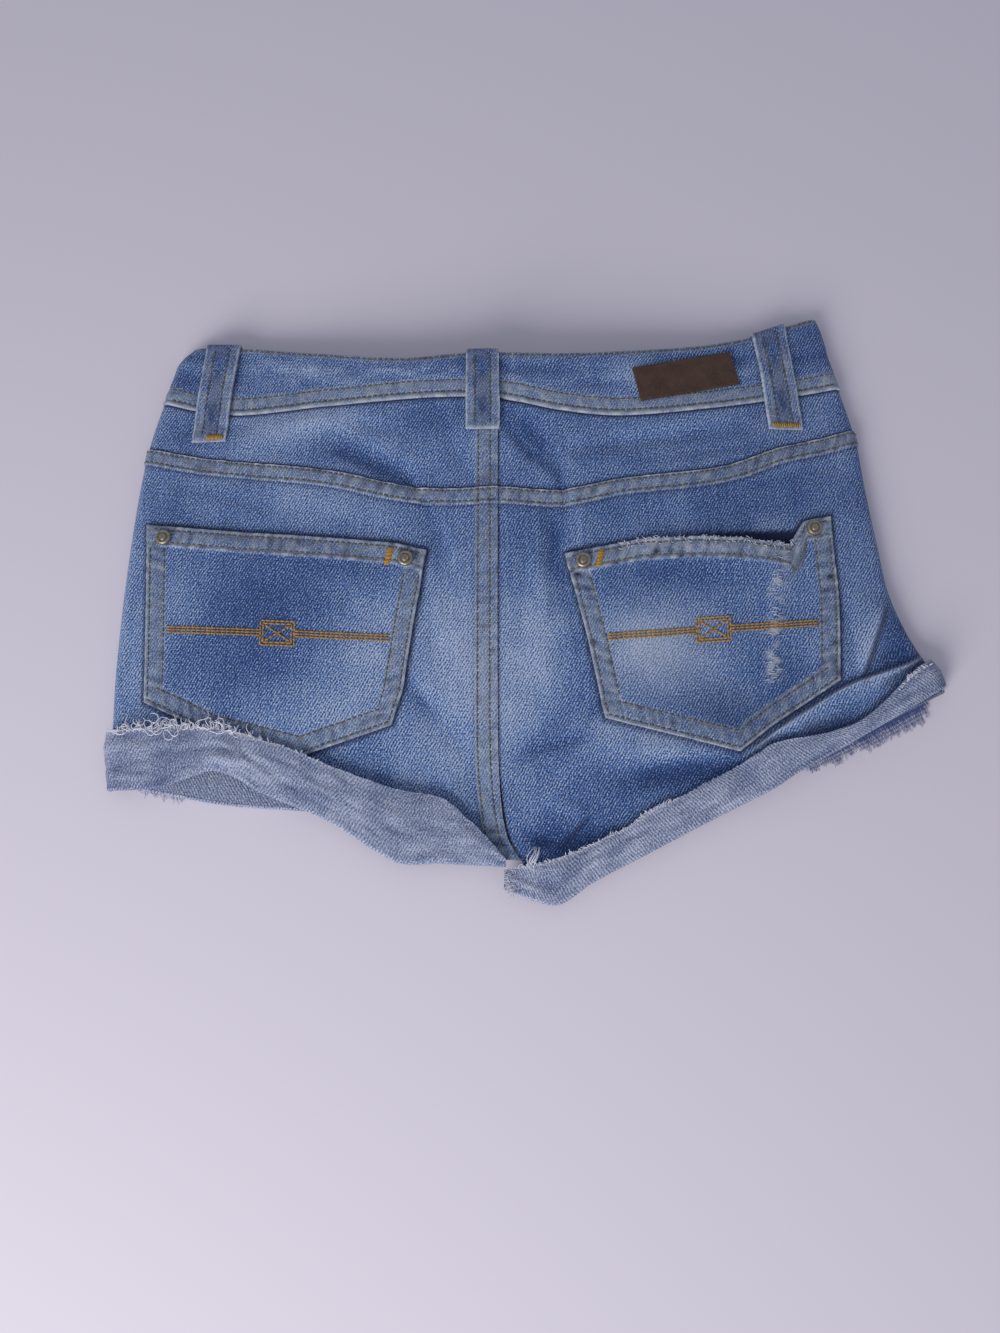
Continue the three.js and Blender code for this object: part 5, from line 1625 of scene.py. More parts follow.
@dataclass
class Waistband(Assembly):
    """The waistband, its belt loops and the leather patch."""

    loops: tuple[Loop, ...] = (
        Loop("left", -170, -175, 85, 19), Loop("centre", -24.5, -24.5, 88, 18, FELL_RISE, False),
        Loop("right", 136, 142.5, 92.5, 19),
    )
    patch_place: tuple[float, float] = (87.5, 122.0)
    patch_size: tuple[float, float] = (57.0, 20.0)
    patch_angle: float = 13.3
    lower: Seam = Seam(1.9, (), rise=0.4, rope=0.25, pitch=8.2, seed=51, grey=0.9, white=1.3, ink=0.0)
    worn: Seam = Seam(10.4, (3.2, 9.6), rise=0.1, rope=0.26, pitch=9.5, seed=53, grey=0.9, white=0.0, ink=0.3)
    upper: Seam = Seam(2.6, (1.6,), rise=0.0, rope=0.2, pitch=9.0, seed=55, grey=0.5, white=0.5, ink=0.3)

    def __post_init__(self) -> None:
        """Works out the band as it lies, with the seams along its lower and upper edges."""
        form = self.form
        above = lambda x, y: (y - form.waist_seam(x)) / form.waist_seam.slant(x)
        below = lambda x, y: (form.waist_top(x) - y) / form.waist_top.slant(x)
        along = lambda x, y: x
        seams = ((self.lower, above, along), (self.worn, above, along), (self.upper, below, along))
        # The tint is painted shade: the wrinkles' rises are paled and their dips darkened.
        self.band = Laid(form, self.wash, base=BAND_RISE, thick=BAND, seams=seams, zones=self.wash.band_zones,
                         extra=self.wrinkles, tint=lambda x, y: 0.34 * self.wrinkles(x, y),
                         hems=(0.7, 1.2, 0.0, 0.0))

    def wrinkles(self, x: np.ndarray, y: np.ndarray) -> np.ndarray:
        """Returns the soft lengthwise wrinkles between the rows of stitching.

        Args:
            x: places across the garment, in millimetres.
            y: places up the garment, in millimetres.

        Returns:
            One value for each place.
        """
        seam, top = self.form.waist_seam(x), self.form.waist_top(x)
        up = (y - seam) / np.maximum(top - seam, 8)
        lines = uneven(x * 0.35 + up * 9, up * 40, 9, 57) + 0.5 * uneven(x * 0.5, up * 40, 4, 58)
        return 0.6 * lines * smooth((up - 0.3) * 6) * smooth((1 - up) * 5)

    def build_band(self) -> None:
        """Makes the back band, from one side seam round to the other."""
        form = self.form
        cut = Cut(form.waist_seam, form.waist_top, form.left, form.right, HALF_SEAM)
        u, v = cut.net(lambda v: ticks(cut.length(v), SIDE_STEPS, SIDE_STEPS[::-1], 270),
                       lambda u: ticks(cut.height(u), BAND_LOW_STEPS, BAND_TOP_STEPS, 24))
        cloth = self.band.cloth("waistband_back", cut, u, v, self.wardrobe.cloth)
        lay(cloth)

    def build_front(self, side: Side) -> None:
        """Makes a front half of the band, which lies on the sheet.

        Args:
            side: the side of the garment.
        """
        form = self.form
        outline, gap = (form.left, -HALF_SEAM) if side is Side.LEFT else (form.right, HALF_SEAM)
        cut = Cut(form.front_waist_seam, form.front_waist_top, outline, upright(FLY_X), HALF_SEAM, 0, gap)
        u, v = cut.net(lambda v: ticks(cut.length(v), SIDE_STEPS, EDGE_STEPS, 60),
                       lambda u: ticks(cut.height(u), SEAM_STEPS[::-1], SEAM_STEPS, 12))
        laid = Laid(form, self.wash, Layer.FRONT, thick=BAND, zones=self.wash.band_zones,
                    hems=(0.5, 1.0, 0.0, 0.5))
        lay(laid.cloth(f"waistband_front_{side.value}", cut, u, v, (self.wardrobe.denim,) * 2))

    def loop_place(self, loop: Loop, across: np.ndarray,
                   t: np.ndarray) -> tuple[np.ndarray, np.ndarray, np.ndarray]:
        """Finds points of a loop's inner face.

        Args:
            loop: which loop.
            across: shares of its width, from -0.5 to 0.5.
            t: 0 where it has turned over the band's edge to 1 at its bottom.

        Returns:
            The points, the normals, and the lift above the form.
        """
        form = self.form
        top_y = float(form.waist_top(loop.top_x))
        y = mix(top_y - 2, loop.bottom_y, t)
        bow = 1.3 * np.sin(np.pi * np.clip(t * 1.05, 0, 1)) ** 2
        lift = mix(BAND_RISE + 0.6, loop.over + 0.5, smooth(t * 1.1)) + bow
        x = mix(loop.top_x, loop.bottom_x, (top_y - y) / (top_y - loop.bottom_y)) + across * loop.width
        lean = (form.waist_top(x) - top_y) * np.clip(1 - (top_y - y) / 20, 0, 1)
        points, normals = form.face(Layer.BACK, x, y + lean)
        return points, normals, lift

    def build_loop(self, loop: Loop, sewing: "Sewing") -> None:
        """Makes a belt loop and sews its two rows and its bar of close stitches.

        Args:
            loop: the belt loop.
            sewing: the groups of stitches that the rows join.
        """
        form = self.form
        across = np.concatenate([[-0.5, -0.49, -0.46], np.linspace(-0.42, 0.42, 19), [0.46, 0.49, 0.5]])
        t = np.linspace(0, 1, 44)
        grid_t, grid_a = np.meshgrid(t, across, indexing="ij")
        points, normals, lift = self.loop_place(loop, grid_a, grid_t)
        drop = rounded((0.5 - np.abs(grid_a)) * loop.width, 0.6) + rounded((1 - grid_t) * 50, 0.5)
        groove = 0.22 * bump(np.abs(grid_a) * loop.width - 4, 0.9)
        rough = 0.16 * uneven(grid_a * loop.width, grid_t * 50, 4, 61)
        tacked = 0.7 * bump((1 - grid_t) * 50 - 1.6, 2.2) if loop.tack else 0
        outer = points + normals * (lift + LOOP - drop - groove + rough - tacked)[..., None]
        inner = points + normals * lift[..., None]
        over = np.array([[1.4, -1.2, 0.2, -1.2], [1.5, 0.2, 0.2, -0.4], [1.2, BAND_RISE + 1.0, 0.2, 0.5],
                         [0.3, BAND_RISE + 0.6 + LOOP * 0.7, -0.3, 1.0]])
        x = loop.top_x + across * loop.width
        edge = form.waist_top(x)
        turned_out, turned_in = [], []
        for out_y, out_lift, in_y, in_lift in over:
            for found, dy, dz in ((turned_out, out_y, out_lift), (turned_in, in_y, in_lift)):
                place, normal = form.face(Layer.BACK, x, edge + dy)
                found.append(place + normal * dz)
        outer = np.concatenate([np.array(turned_out), outer])
        inner = np.concatenate([np.array(turned_in), inner])
        rows = len(outer)
        a, down = np.meshgrid(across * loop.width, np.arange(rows) * 1.1, indexing="xy")
        ends = np.maximum(bump(loop.width / 2 - np.abs(a), 1.5), bump((rows - 1) * 1.1 - down, 1.6))
        ragged = ends * (0.8 + 0.5 * uneven(a, down, 2.2, 63)) * 1.15
        worn = 0.15 + 0.3 * uneven(a, down, 5, 64) + 0.3 * bump(np.abs(a) - 6, 1.6)
        fade = 0.2 + 0.2 * uneven(a, down, 7, 65)
        shadow = 0.6 * bump(np.abs(a), 2.6) * (0.5 + 0.5 * uneven(a, down, 6, 66))
        cloth = Cloth(f"belt_loop_{loop.name}_cloth", f"belt_loop_{loop.name}", outer, inner,
                      np.stack([a, -down], -1), Dye(fade, worn, ragged, shadow), self.wardrobe.cloth)
        lay(cloth)

        def surface(a: np.ndarray, t: np.ndarray, over: float | np.ndarray) -> tuple[np.ndarray, np.ndarray]:
            """Returns points over the loop's outer face."""
            place, normal, lift = self.loop_place(loop, a, t)
            return place + normal * (lift + LOOP - 0.12 + over)[..., None], normal

        for share in (-4 / loop.width, 4 / loop.width):
            path = np.stack([np.full(30, share), np.linspace(0.02, 0.94, 30)], -1)
            sewing.loops.row(surface, path, seed=70)
        if loop.tack:
            sewing.tack(surface, (-0.05 if loop.top_x < 0 else -0.4, 0.962), (0.42, 0.962), 0.02)

    def build_patch(self) -> None:
        """Makes the bare leather patch, its cut edges softly rounded."""
        (x0, y0), (long, wide) = self.patch_place, self.patch_size
        turn = math.radians(self.patch_angle)

        def steps(size: float, count: int) -> np.ndarray:
            """Returns places from edge to edge of a size, close together at both."""
            rim = np.array([0, 0.25, 0.7])
            return np.concatenate([rim, np.linspace(1.4, size - 1.4, count), size - rim[::-1]]) - size / 2

        b, a = np.meshgrid(steps(wide, 16), steps(long, 42), indexing="ij")
        corner = np.clip(np.minimum(long / 2 - np.abs(a), wide / 2 - np.abs(b)) / 1.5, 0, 1)
        x = x0 + a * math.cos(turn) - b * math.sin(turn)
        y = y0 + a * math.sin(turn) + b * math.cos(turn)
        points, normals = self.form.face(Layer.BACK, x, y)
        under = BAND_RISE + LAY_GAP
        drop = rounded(long / 2 - np.abs(a), 0.6) + rounded(wide / 2 - np.abs(b), 0.6)
        dished = 0.25 * bump(long / 2 - np.abs(a) - 2.2, 1.0) + 0.25 * bump(wide / 2 - np.abs(b) - 2.2, 1.0)
        wavy = 0.18 * uneven(a, b, 9, 81)
        outer = points + normals * (under + LEATHER - drop - dished * corner + wavy)[..., None]
        inner = points + normals * under
        cloth = Cloth("waist_patch_leather", "waist_patch", outer, inner, np.stack([a, b], -1), Dye(0 * a),
                      (self.wardrobe.leather,) * 2)
        lay(cloth)

    def sew(self, sewing: "Sewing") -> None:
        """Sews the band's three rows.

        Args:
            sewing: the groups of stitches that the rows join.
        """
        for number, row in enumerate(self.worn.rows):
            path = beside(self.form.waist_seam, np.linspace(-198, 172, 120), -row)
            sewing.band.row(self.band.surface, path, seed=90 + number)
        path = beside(self.form.waist_top, np.linspace(-184, 162, 120), self.upper.rows[0])
        sewing.band.row(self.band.surface, path, seed=93)

    def build(self, sewing: "Sewing") -> None:
        """Makes the band, its loops and patch, and sews them.

        Args:
            sewing: the groups of stitches that the rows join.
        """
        self.build_band()
        for side in Side:
            self.build_front(side)
        for loop in self.loops:
            self.build_loop(loop, sewing)
        self.build_patch()
        self.sew(sewing)


@dataclass(frozen=True)
class PocketShape:
    """A patch pocket: its mouth and bottom from left to right, its two edges, and how it hangs open."""

    side: Side
    mouth: Rows
    bottom: Rows
    left: Rows
    right: Rows
    tip_x: float
    gape: float
    gape_from: float
    gape_to: float
    rivets: tuple[tuple[float, float], tuple[float, float]]
    first_rivet: int

    def inside(self, x: np.ndarray, y: np.ndarray) -> np.ndarray:
        """Returns how far a place is inside the pocket's outline, below 0 outside it.

        Args:
            x: places across the garment, in millimetres.
            y: places up the garment, in millimetres.

        Returns:
            One value for each place.
        """
        mouth, bottom = Outline(self.mouth), Outline(self.bottom)
        up_down = np.minimum((mouth(x) - y) / mouth.slant(x), (y - bottom(x)) / bottom.slant(x))
        return np.minimum(up_down, np.minimum(x - Outline(self.left)(y), Outline(self.right)(y) - x))


@dataclass
class Pockets(Assembly):
    """The two back pockets with their rivets and plain embroidery."""

    shapes: tuple[PocketShape, ...] = (
        PocketShape(Side.LEFT, ((-205, 37), (-152, 31.5), (-106, 28), (-71, 25), (-54, 21)),
                    ((-200, -60), (-163, -77), (-118, -88.5), (-71, -72)),
                    ((37, -205), (-15, -202), (-60, -200)), ((21, -54), (-16, -60), (-54, -65.5), (-72, -71)),
                    -118, 0, -200, -60, ((-195, 29), (-65, 16)), 1),
        PocketShape(Side.RIGHT,
                    ((20, 19.5), (60, 27), (92, 28), (114, 27.5), (139, 24.5), (148, 38.5), (163, 41.5)),
                    ((39.5, -68.5), (74, -77), (108.5, -85.5), (124, -73.5), (162, -48.5)),
                    ((19, 20), (-27, 31), (-69, 39.5)), ((42, 163), (-4, 164.5), (-53, 162)),
                    108.5, 3.2, 52, 146, ((29, 15), (153, 34)), 3),
    )
    hem: float = 11.0
    hem_rows: tuple[float, float] = (2.5, 9.5)
    edge_rows: tuple[float, float] = (2.0, 9.8)
    gape_depth: float = 26.0
    rivet_lift: float = 0.4

    @staticmethod
    def worn_line(y: np.ndarray) -> np.ndarray:
        """Returns where the worn band down the right pocket has its middle."""
        return mix(133, 126.8, np.clip((17.4 - y) / 66, 0, 1))

    def laid(self, shape: PocketShape) -> Laid:
        """Returns a pocket as it lies on its panel.

        Args:
            shape: the pocket's outline.

        Returns:
            The cloth as it lies.
        """
        mouth, bottom = Outline(shape.mouth), Outline(shape.bottom)
        left, right = Outline(shape.left), Outline(shape.right)
        seed = 100 + 20 * shape.first_rivet
        hem = Seam(self.hem, self.hem_rows, rise=POCKET_HEM_RISE, rope=0.42, pitch=7.0, seed=seed, grey=0.85,
                   white=1.2, ink=0.9)
        edge = Seam(self.edge_rows[1], self.edge_rows, rise=0.0, rope=0.4, pitch=6.6, seed=seed + 3, grey=0.7,
                    white=1.1, ink=0.9)
        from_mouth = lambda x, y: (mouth(x) - y) / mouth.slant(x)
        from_bottom = lambda x, y: (y - bottom(x)) / bottom.slant(x)
        from_left = lambda x, y: x - left(y)
        from_right = lambda x, y: right(y) - x
        across, upward = (lambda x, y: x), (lambda x, y: y)
        seams = ((hem, from_mouth, across), (edge, from_bottom, across), (edge, from_left, upward),
                 (edge, from_right, upward))

        def hang(x: np.ndarray, y: np.ndarray) -> np.ndarray:
            """Returns how far the mouth hangs open, with the abraded ridge beside it.

            Args:
                x: places across the garment, in millimetres.
                y: places up the garment, in millimetres.

            Returns:
                One value for each place.
            """
            share = np.clip((x - shape.gape_from) / (shape.gape_to - shape.gape_from), 0, 1)
            lift = shape.gape * np.sin(np.pi * share) * smooth(1 - from_mouth(x, y) / self.gape_depth)
            if shape.side is Side.RIGHT:
                ridge = 0.9 * bump(x - self.worn_line(y), 4.5)
                lift = lift + ridge * smooth((20 - y) / 12) * smooth((y + 58) / 12)
                fold = np.abs((x - 143.7) * 0.87 - (y - 28.7) * 0.48)
                lift = lift - 1.0 * bump(fold, 3.4) * smooth((y - 10) / 6) * smooth((32 - y) / 6)
            return lift

        def rubbed(x: np.ndarray, y: np.ndarray) -> np.ndarray:
            """Returns the white wear: the frayed mouth and the abraded band down the right pocket.

            Args:
                x: places across the garment, in millimetres.
                y: places up the garment, in millimetres.

            Returns:
                One value for each place.
            """
            if shape.side is Side.LEFT:
                return 0.35 * smooth((3 - from_mouth(x, y)) / 3) * (0.5 + uneven(x, y, 2.5, 141))
            patch = smooth(uneven(x, y, 2.6, 142) * 1.6 + uneven(x, y, 7, 143) + 0.1)
            band = bump(x - self.worn_line(y), 5.5)
            band = band * smooth((24 - y) / 8) * smooth((y + 54) / 10)
            mouth_wear = smooth((9 - from_mouth(x, y)) / 3) * smooth((x - 46) / 20)
            mouth_wear = mouth_wear * (0.45 + 0.8 * uneven(x, y, 2.2, 144))
            seat = np.exp(-((x - 66) / 26) ** 2 - ((y + 32) / 20) ** 2)
            return np.maximum(np.maximum(0.95 * band * patch, 0.75 * mouth_wear), 0.38 * seat)

        def shadowed(x: np.ndarray, y: np.ndarray) -> np.ndarray:
            """Returns painted shade at the foot of the right pocket."""
            foot = np.exp(-((x - 104) / 36) ** 2 - ((y + 66) / 16) ** 2)
            return 0.36 * foot if shape.side is Side.RIGHT else 0 * x

        return Laid(self.form, self.wash, base=LAY_GAP + DENIM, seams=seams, extra=hang, rubbed=rubbed,
                    shade=shadowed, zones=self.wash.zones + self.wash.pocket_zones,
                    hems=(0.45, 0.6, 0.45, 0.45), frayed=(0.7, 0.5, 0.7, 0.7))

    def build_pocket(self, shape: PocketShape, sewing: "Sewing") -> None:
        """Makes a pocket and sews its hem, edges, corner bars and embroidery.

        Args:
            shape: the pocket's outline.
            sewing: the groups of stitches that the rows join.
        """
        mouth, bottom = Outline(shape.mouth), Outline(shape.bottom)
        left, right = Outline(shape.left), Outline(shape.right)
        cut = Cut(bottom, mouth, left, right)
        rim = POCKET_RIM_STEPS
        u, v = cut.net(lambda v: ticks(cut.length(v), rim, rim[::-1], 78),
                       lambda u: ticks(cut.height(u), rim, POCKET_TOP_STEPS, 58))
        laid = self.laid(shape)
        side = shape.side.value
        lay(laid.cloth(f"back_pocket_{side}", cut, u, v, self.wardrobe.cloth))
        for number, row in enumerate(self.hem_rows):
            path = beside(mouth, np.linspace(left(20.0) + 3, right(20.0) - 3, 90), row)
            sewing.pockets.row(laid.surface, path, tone=0.3 + 0.2 * number, seed=110 + number)
        for row in self.edge_rows:
            low = bottom(bottom.at[0]) + 1.2 * row
            y = np.linspace(low, mouth(mouth.at[0]) - 13, 60)
            sewing.pockets.row(laid.surface, np.stack([left(y) + row, y], -1), seed=112)
            low = bottom(bottom.at[-1]) + 1.0 * row
            y = np.linspace(low, mouth(mouth.at[-1]) - 13, 60)
            sewing.pockets.row(laid.surface, np.stack([right(y) - row, y], -1), seed=113)
            x = np.linspace(bottom.at[0] + 0.6 * row, bottom.at[-1] - 0.6 * row, 120)
            flat = Outline([(place, value + row * 1.05) for place, value in shape.bottom])
            sewing.pockets.row(laid.surface, np.stack([x, flat(x)], -1), seed=114)
        self.embroider(shape, laid, sewing)
        if shape.side is Side.RIGHT:
            self.abrade(mouth, laid)
        for x, y in shape.rivets:
            tack_x = x + (9 if x < shape.tip_x else -9)
            if (shape.side is Side.LEFT) == (x > shape.tip_x):
                sewing.tack(laid.surface, (tack_x - 1.0, y - 3), (tack_x + 1.0, y + 6), 1.5)

    def abrade(self, mouth: Outline, laid: Laid) -> None:
        """Lays the white threads of the worn band down the right pocket and of its frayed mouth.

        Args:
            mouth: the pocket's upper edge.
            laid: the pocket as it lies.
        """
        random = np.random.default_rng(151)
        count = 90
        y = mix(19, -50, random.random(count))
        middle = self.worn_line(y) + random.normal(0, 2.2, count)
        half = mix(0.7, 2.6, random.random(count) ** 2)
        lean = random.normal(0, 0.2, count)
        kept = uneven(middle, y, 7, 143) > -0.35
        start = np.stack([middle - half, y - lean], -1)[kept]
        end = np.stack([middle + half, y + lean], -1)[kept]
        wisps("worn_threads_pocket_right", laid.surface, start, end, 0.2, self.wardrobe.fray, 0.17, 152, 0.4,
              0.45)
        x = mix(48, 142, random.random(130))
        low = mouth(x) - mix(0.2, 4.5, random.random(130) ** 2)
        reach = np.stack([random.normal(0, 1.1, 130), mix(0.4, 1.7, random.random(130))], -1)
        foot = np.stack([x, low], -1)
        wisps("worn_threads_pocket_mouth", laid.surface, foot, foot + reach, 0.25, self.wardrobe.fray, 0.17,
              153)

    def embroider(self, shape: PocketShape, laid: Laid, sewing: "Sewing") -> None:
        """Sews a plain band of three gold rows with a boxed cross in the middle.

        Args:
            shape: the pocket's outline.
            laid: the pocket as it lies.
            sewing: the groups of stitches that the rows join.
        """
        left, right = Outline(shape.left), Outline(shape.right)
        level = -24.0 if shape.side is Side.LEFT else -22.0
        slope = -0.045 if shape.side is Side.LEFT else 0.07
        middle = float(left(level) + right(level)) / 2
        height = lambda x: level + slope * (x - middle)
        half_box, tall = 9.0, 6.5
        ends = ((float(left(level)) + 11.5, middle - half_box),
                (middle + half_box, float(right(level)) - 11.5))
        for x0, x1 in ends:
            for off in (-1.45, 0.0, 1.45):
                x = np.linspace(x0, x1, 40)
                path = np.stack([x, height(x) + off], -1)
                sewing.embroidery.row(laid.surface, path, 2.5, 0.92, 0.5, 0.35, 120)
        for inset in (0.0, 1.5):
            a, b = half_box - inset, tall - inset
            corners = [(-a, -b), (a, -b), (a, b), (-a, b), (-a, -b)]
            for (ax, ay), (bx, by) in zip(corners, corners[1:]):
                x, y = np.linspace(ax, bx, 12) + middle, np.linspace(ay, by, 12)
                path = np.stack([x, height(x) + y], -1)
                sewing.embroidery.row(laid.surface, path, 2.5, 0.9, 0.55, 0.3, 121)
        for sign in (1, -1):
            x, y = np.linspace(-6.6, 6.6, 12) + middle, np.linspace(-4.2, 4.2, 12) * sign
            sewing.embroidery.row(laid.surface, np.stack([x, height(x) + y], -1), 2.5, 0.9, 0.55, 0.3, 122)

    def rivet(self) -> bpy.types.Object:
        """Models a rivet head: a domed washer with a groove round a raised middle.

        Returns:
            The object.
        """
        pick_nothing()
        bpy.ops.mesh.primitive_circle_add(vertices=28, radius=4.2 * MM, fill_type="NGON")
        piece = bpy.context.active_object
        bpy.ops.object.mode_set(mode="EDIT")
        bpy.ops.mesh.select_all(action="SELECT")
        rings = (0.9, 1.0), (0.75, 0.93), (0.4, 0.8), (-0.35, 0.78), (0.0, 0.8), (0.5, 0.9), (0.15, 0.5)
        for rise, scale in rings:
            bpy.ops.mesh.extrude_region_move(TRANSFORM_OT_translate={"value": (0, 0, rise * MM)})
            bpy.ops.transform.resize(value=(scale, scale, 1))
        bpy.ops.mesh.inset(thickness=0.25 * MM)
        bpy.ops.object.mode_set(mode="OBJECT")
        soften(piece, 0.12, 2)
        return piece

    def build_rivets(self) -> None:
        """Copies the rivet to each place, and throws the pattern away."""
        pattern = self.rivet()
        for shape in self.shapes:
            laid = self.laid(shape)
            for number, (x, y) in enumerate(shape.rivets):
                name = f"rivet_{shape.first_rivet + number}"
                over = LAY_GAP + DENIM + POCKET_HEM_RISE + self.rivet_lift
                point, normal = laid.form.face(Layer.BACK, np.array(x), np.array(y))
                place_copy(pattern, name + "_head", point + normal * over, normal, self.wardrobe.nickel, name)
        bpy.data.objects.remove(pattern)

    def build(self, sewing: "Sewing") -> None:
        """Makes both pockets and the rivets.

        Args:
            sewing: the groups of stitches that the rows join.
        """
        for shape in self.shapes:
            self.build_pocket(shape, sewing)
        self.build_rivets()


def pick_nothing() -> None:
    """Deselects everything and leaves no active object."""
    bpy.ops.object.select_all(action="DESELECT")
    bpy.context.view_layer.objects.active = None


def soften(piece: bpy.types.Object, width: float, segments: int) -> None:
    """Bevels a piece's sharp edges, in millimetres, and shades it smooth.

    Args:
        piece: the piece.
        width: the width, in millimetres.
        segments: the bevel's steps.
    """
    pick(piece)
    bevel = piece.modifiers.new("edges", "BEVEL")
    bevel.width, bevel.segments = width * MM, segments
    bevel.limit_method, bevel.angle_limit = "ANGLE", math.radians(32)
    bpy.ops.object.modifier_apply(modifier="edges")
    bpy.ops.object.shade_smooth_by_angle(angle=math.radians(50))


def place_copy(pattern: bpy.types.Object, name: str, point: np.ndarray, normal: np.ndarray,
               material: bpy.types.Material, node: str) -> None:
    """Copies a modelled piece, with its own mesh, to a place on the garment.

    Args:
        pattern: the piece, standing on the origin.
        name: the copy's name.
        point: where it stands, in millimetres.
        normal: the way it points.
        material: its material.
        node: the CAD node that it replaces.
    """
    copy = put(name, pattern.data.copy())
    turn = Vector((0, 0, 1)).rotation_difference(Vector(normal.tolist())).to_matrix().to_4x4()
    copy.data.transform(Matrix.Translation(Vector((point * MM).tolist())) @ turn)
    copy.data.materials.clear()
    copy.data.materials.append(material)
    dress(copy, node)


@dataclass(frozen=True)
class Fray:
    """Loose threads along a raw edge."""

    name: str
    layer: Layer
    line: Line
    away: float
    start: float
    end: float
    lift: float
    count: int
    short: float
    long: float
    spread: float
    rise: float
    curl: float
    tones: tuple[float, float]
    root: float = 1.2
    node: str | None = None
    seed: int = 1

    def build(self, form: Form, material: bpy.types.Material) -> None:
        """Makes the threads one piece.

        Args:
            form: the garment's form.
            material: the threads' finish.
        """
        random = np.random.default_rng(self.seed)
        points, count = 8, self.count
        x = mix(self.start, self.end, (np.arange(count) + random.random(count)) / count)
        edge, normal = form.face(self.layer, x, self.line(x))
        along = np.stack([np.ones_like(x), self.line(x + 0.5) - self.line(x - 0.5), 0 * x], -1)
        along -= normal * (along * normal).sum(-1, keepdims=True)
        along /= np.linalg.norm(along, axis=-1, keepdims=True)
        out = np.cross(np.array([0, 0, 1.0]), along)
        out /= np.linalg.norm(out, axis=-1, keepdims=True)
        out = out * self.away
        length = mix(self.short, self.long, random.random(count) ** 1.2)
        clump = uneven(x, 0 * x, 3.5, self.seed + 50)
        ends = smooth((x - self.start) / 9 + 0.35) * smooth((self.end - x) / 9 + 0.35)
        length = length * ends * np.clip(0.92 + 0.3 * uneven(x, 0 * x, 8, self.seed + 60), 0.55, 1)
        heading = self.spread * (0.7 * (2 * random.random(count) - 1) + 0.8 * clump)
        bend = self.spread * 1.2 * (random.random(count) - 0.5)
        t = np.linspace(0, 1, points)
        phase = random.random(count)[:, None] * 6.3
        wave = np.sin(phase + t * mix(3, 7, random.random()))
        angle = heading[:, None] + bend[:, None] * t + self.curl * wave
        step, foot = length[:, None] / (points - 1), np.zeros((count, 1))
        reach = np.concatenate([foot, np.cumsum(np.cos(angle[:, 1:]) * step, 1)], 1) - self.root
        drift = np.concatenate([foot, np.cumsum(np.sin(angle[:, 1:]) * step, 1)], 1)
        tall = self.rise * (0.5 + random.random(count)[:, None])
        off = self.lift + tall * np.sin(t * mix(1.4, 2.9, random.random(count)[:, None]))
        lines = (edge[:, None] + out[:, None] * reach[..., None] + along[:, None] * drift[..., None]
                 + normal[:, None] * off[..., None])
        lines[..., 2] = np.maximum(lines[..., 2], 0.35)
        taper = np.array([1, 1, 1, 0.95, 0.9, 0.8, 0.7, 0.5])
        widths = 0.30 * (0.8 + 0.4 * random.random(count))[:, None] * taper
        tones = mix(*self.tones, smooth(t * 1.3))[None] + 0.25 * (random.random(count) - 0.5)[:, None]
        up = np.broadcast_to(normal[:, None], lines.shape)
        dress(tubes(self.name, lines, up, widths, tones, material, 4), self.node)


@dataclass(frozen=True)
class Turn:
    """How a cuff stands off the leg: the gap inside at its fold and at its edge."""

    inside: float
    in_edge: float
    start: float = 1.1


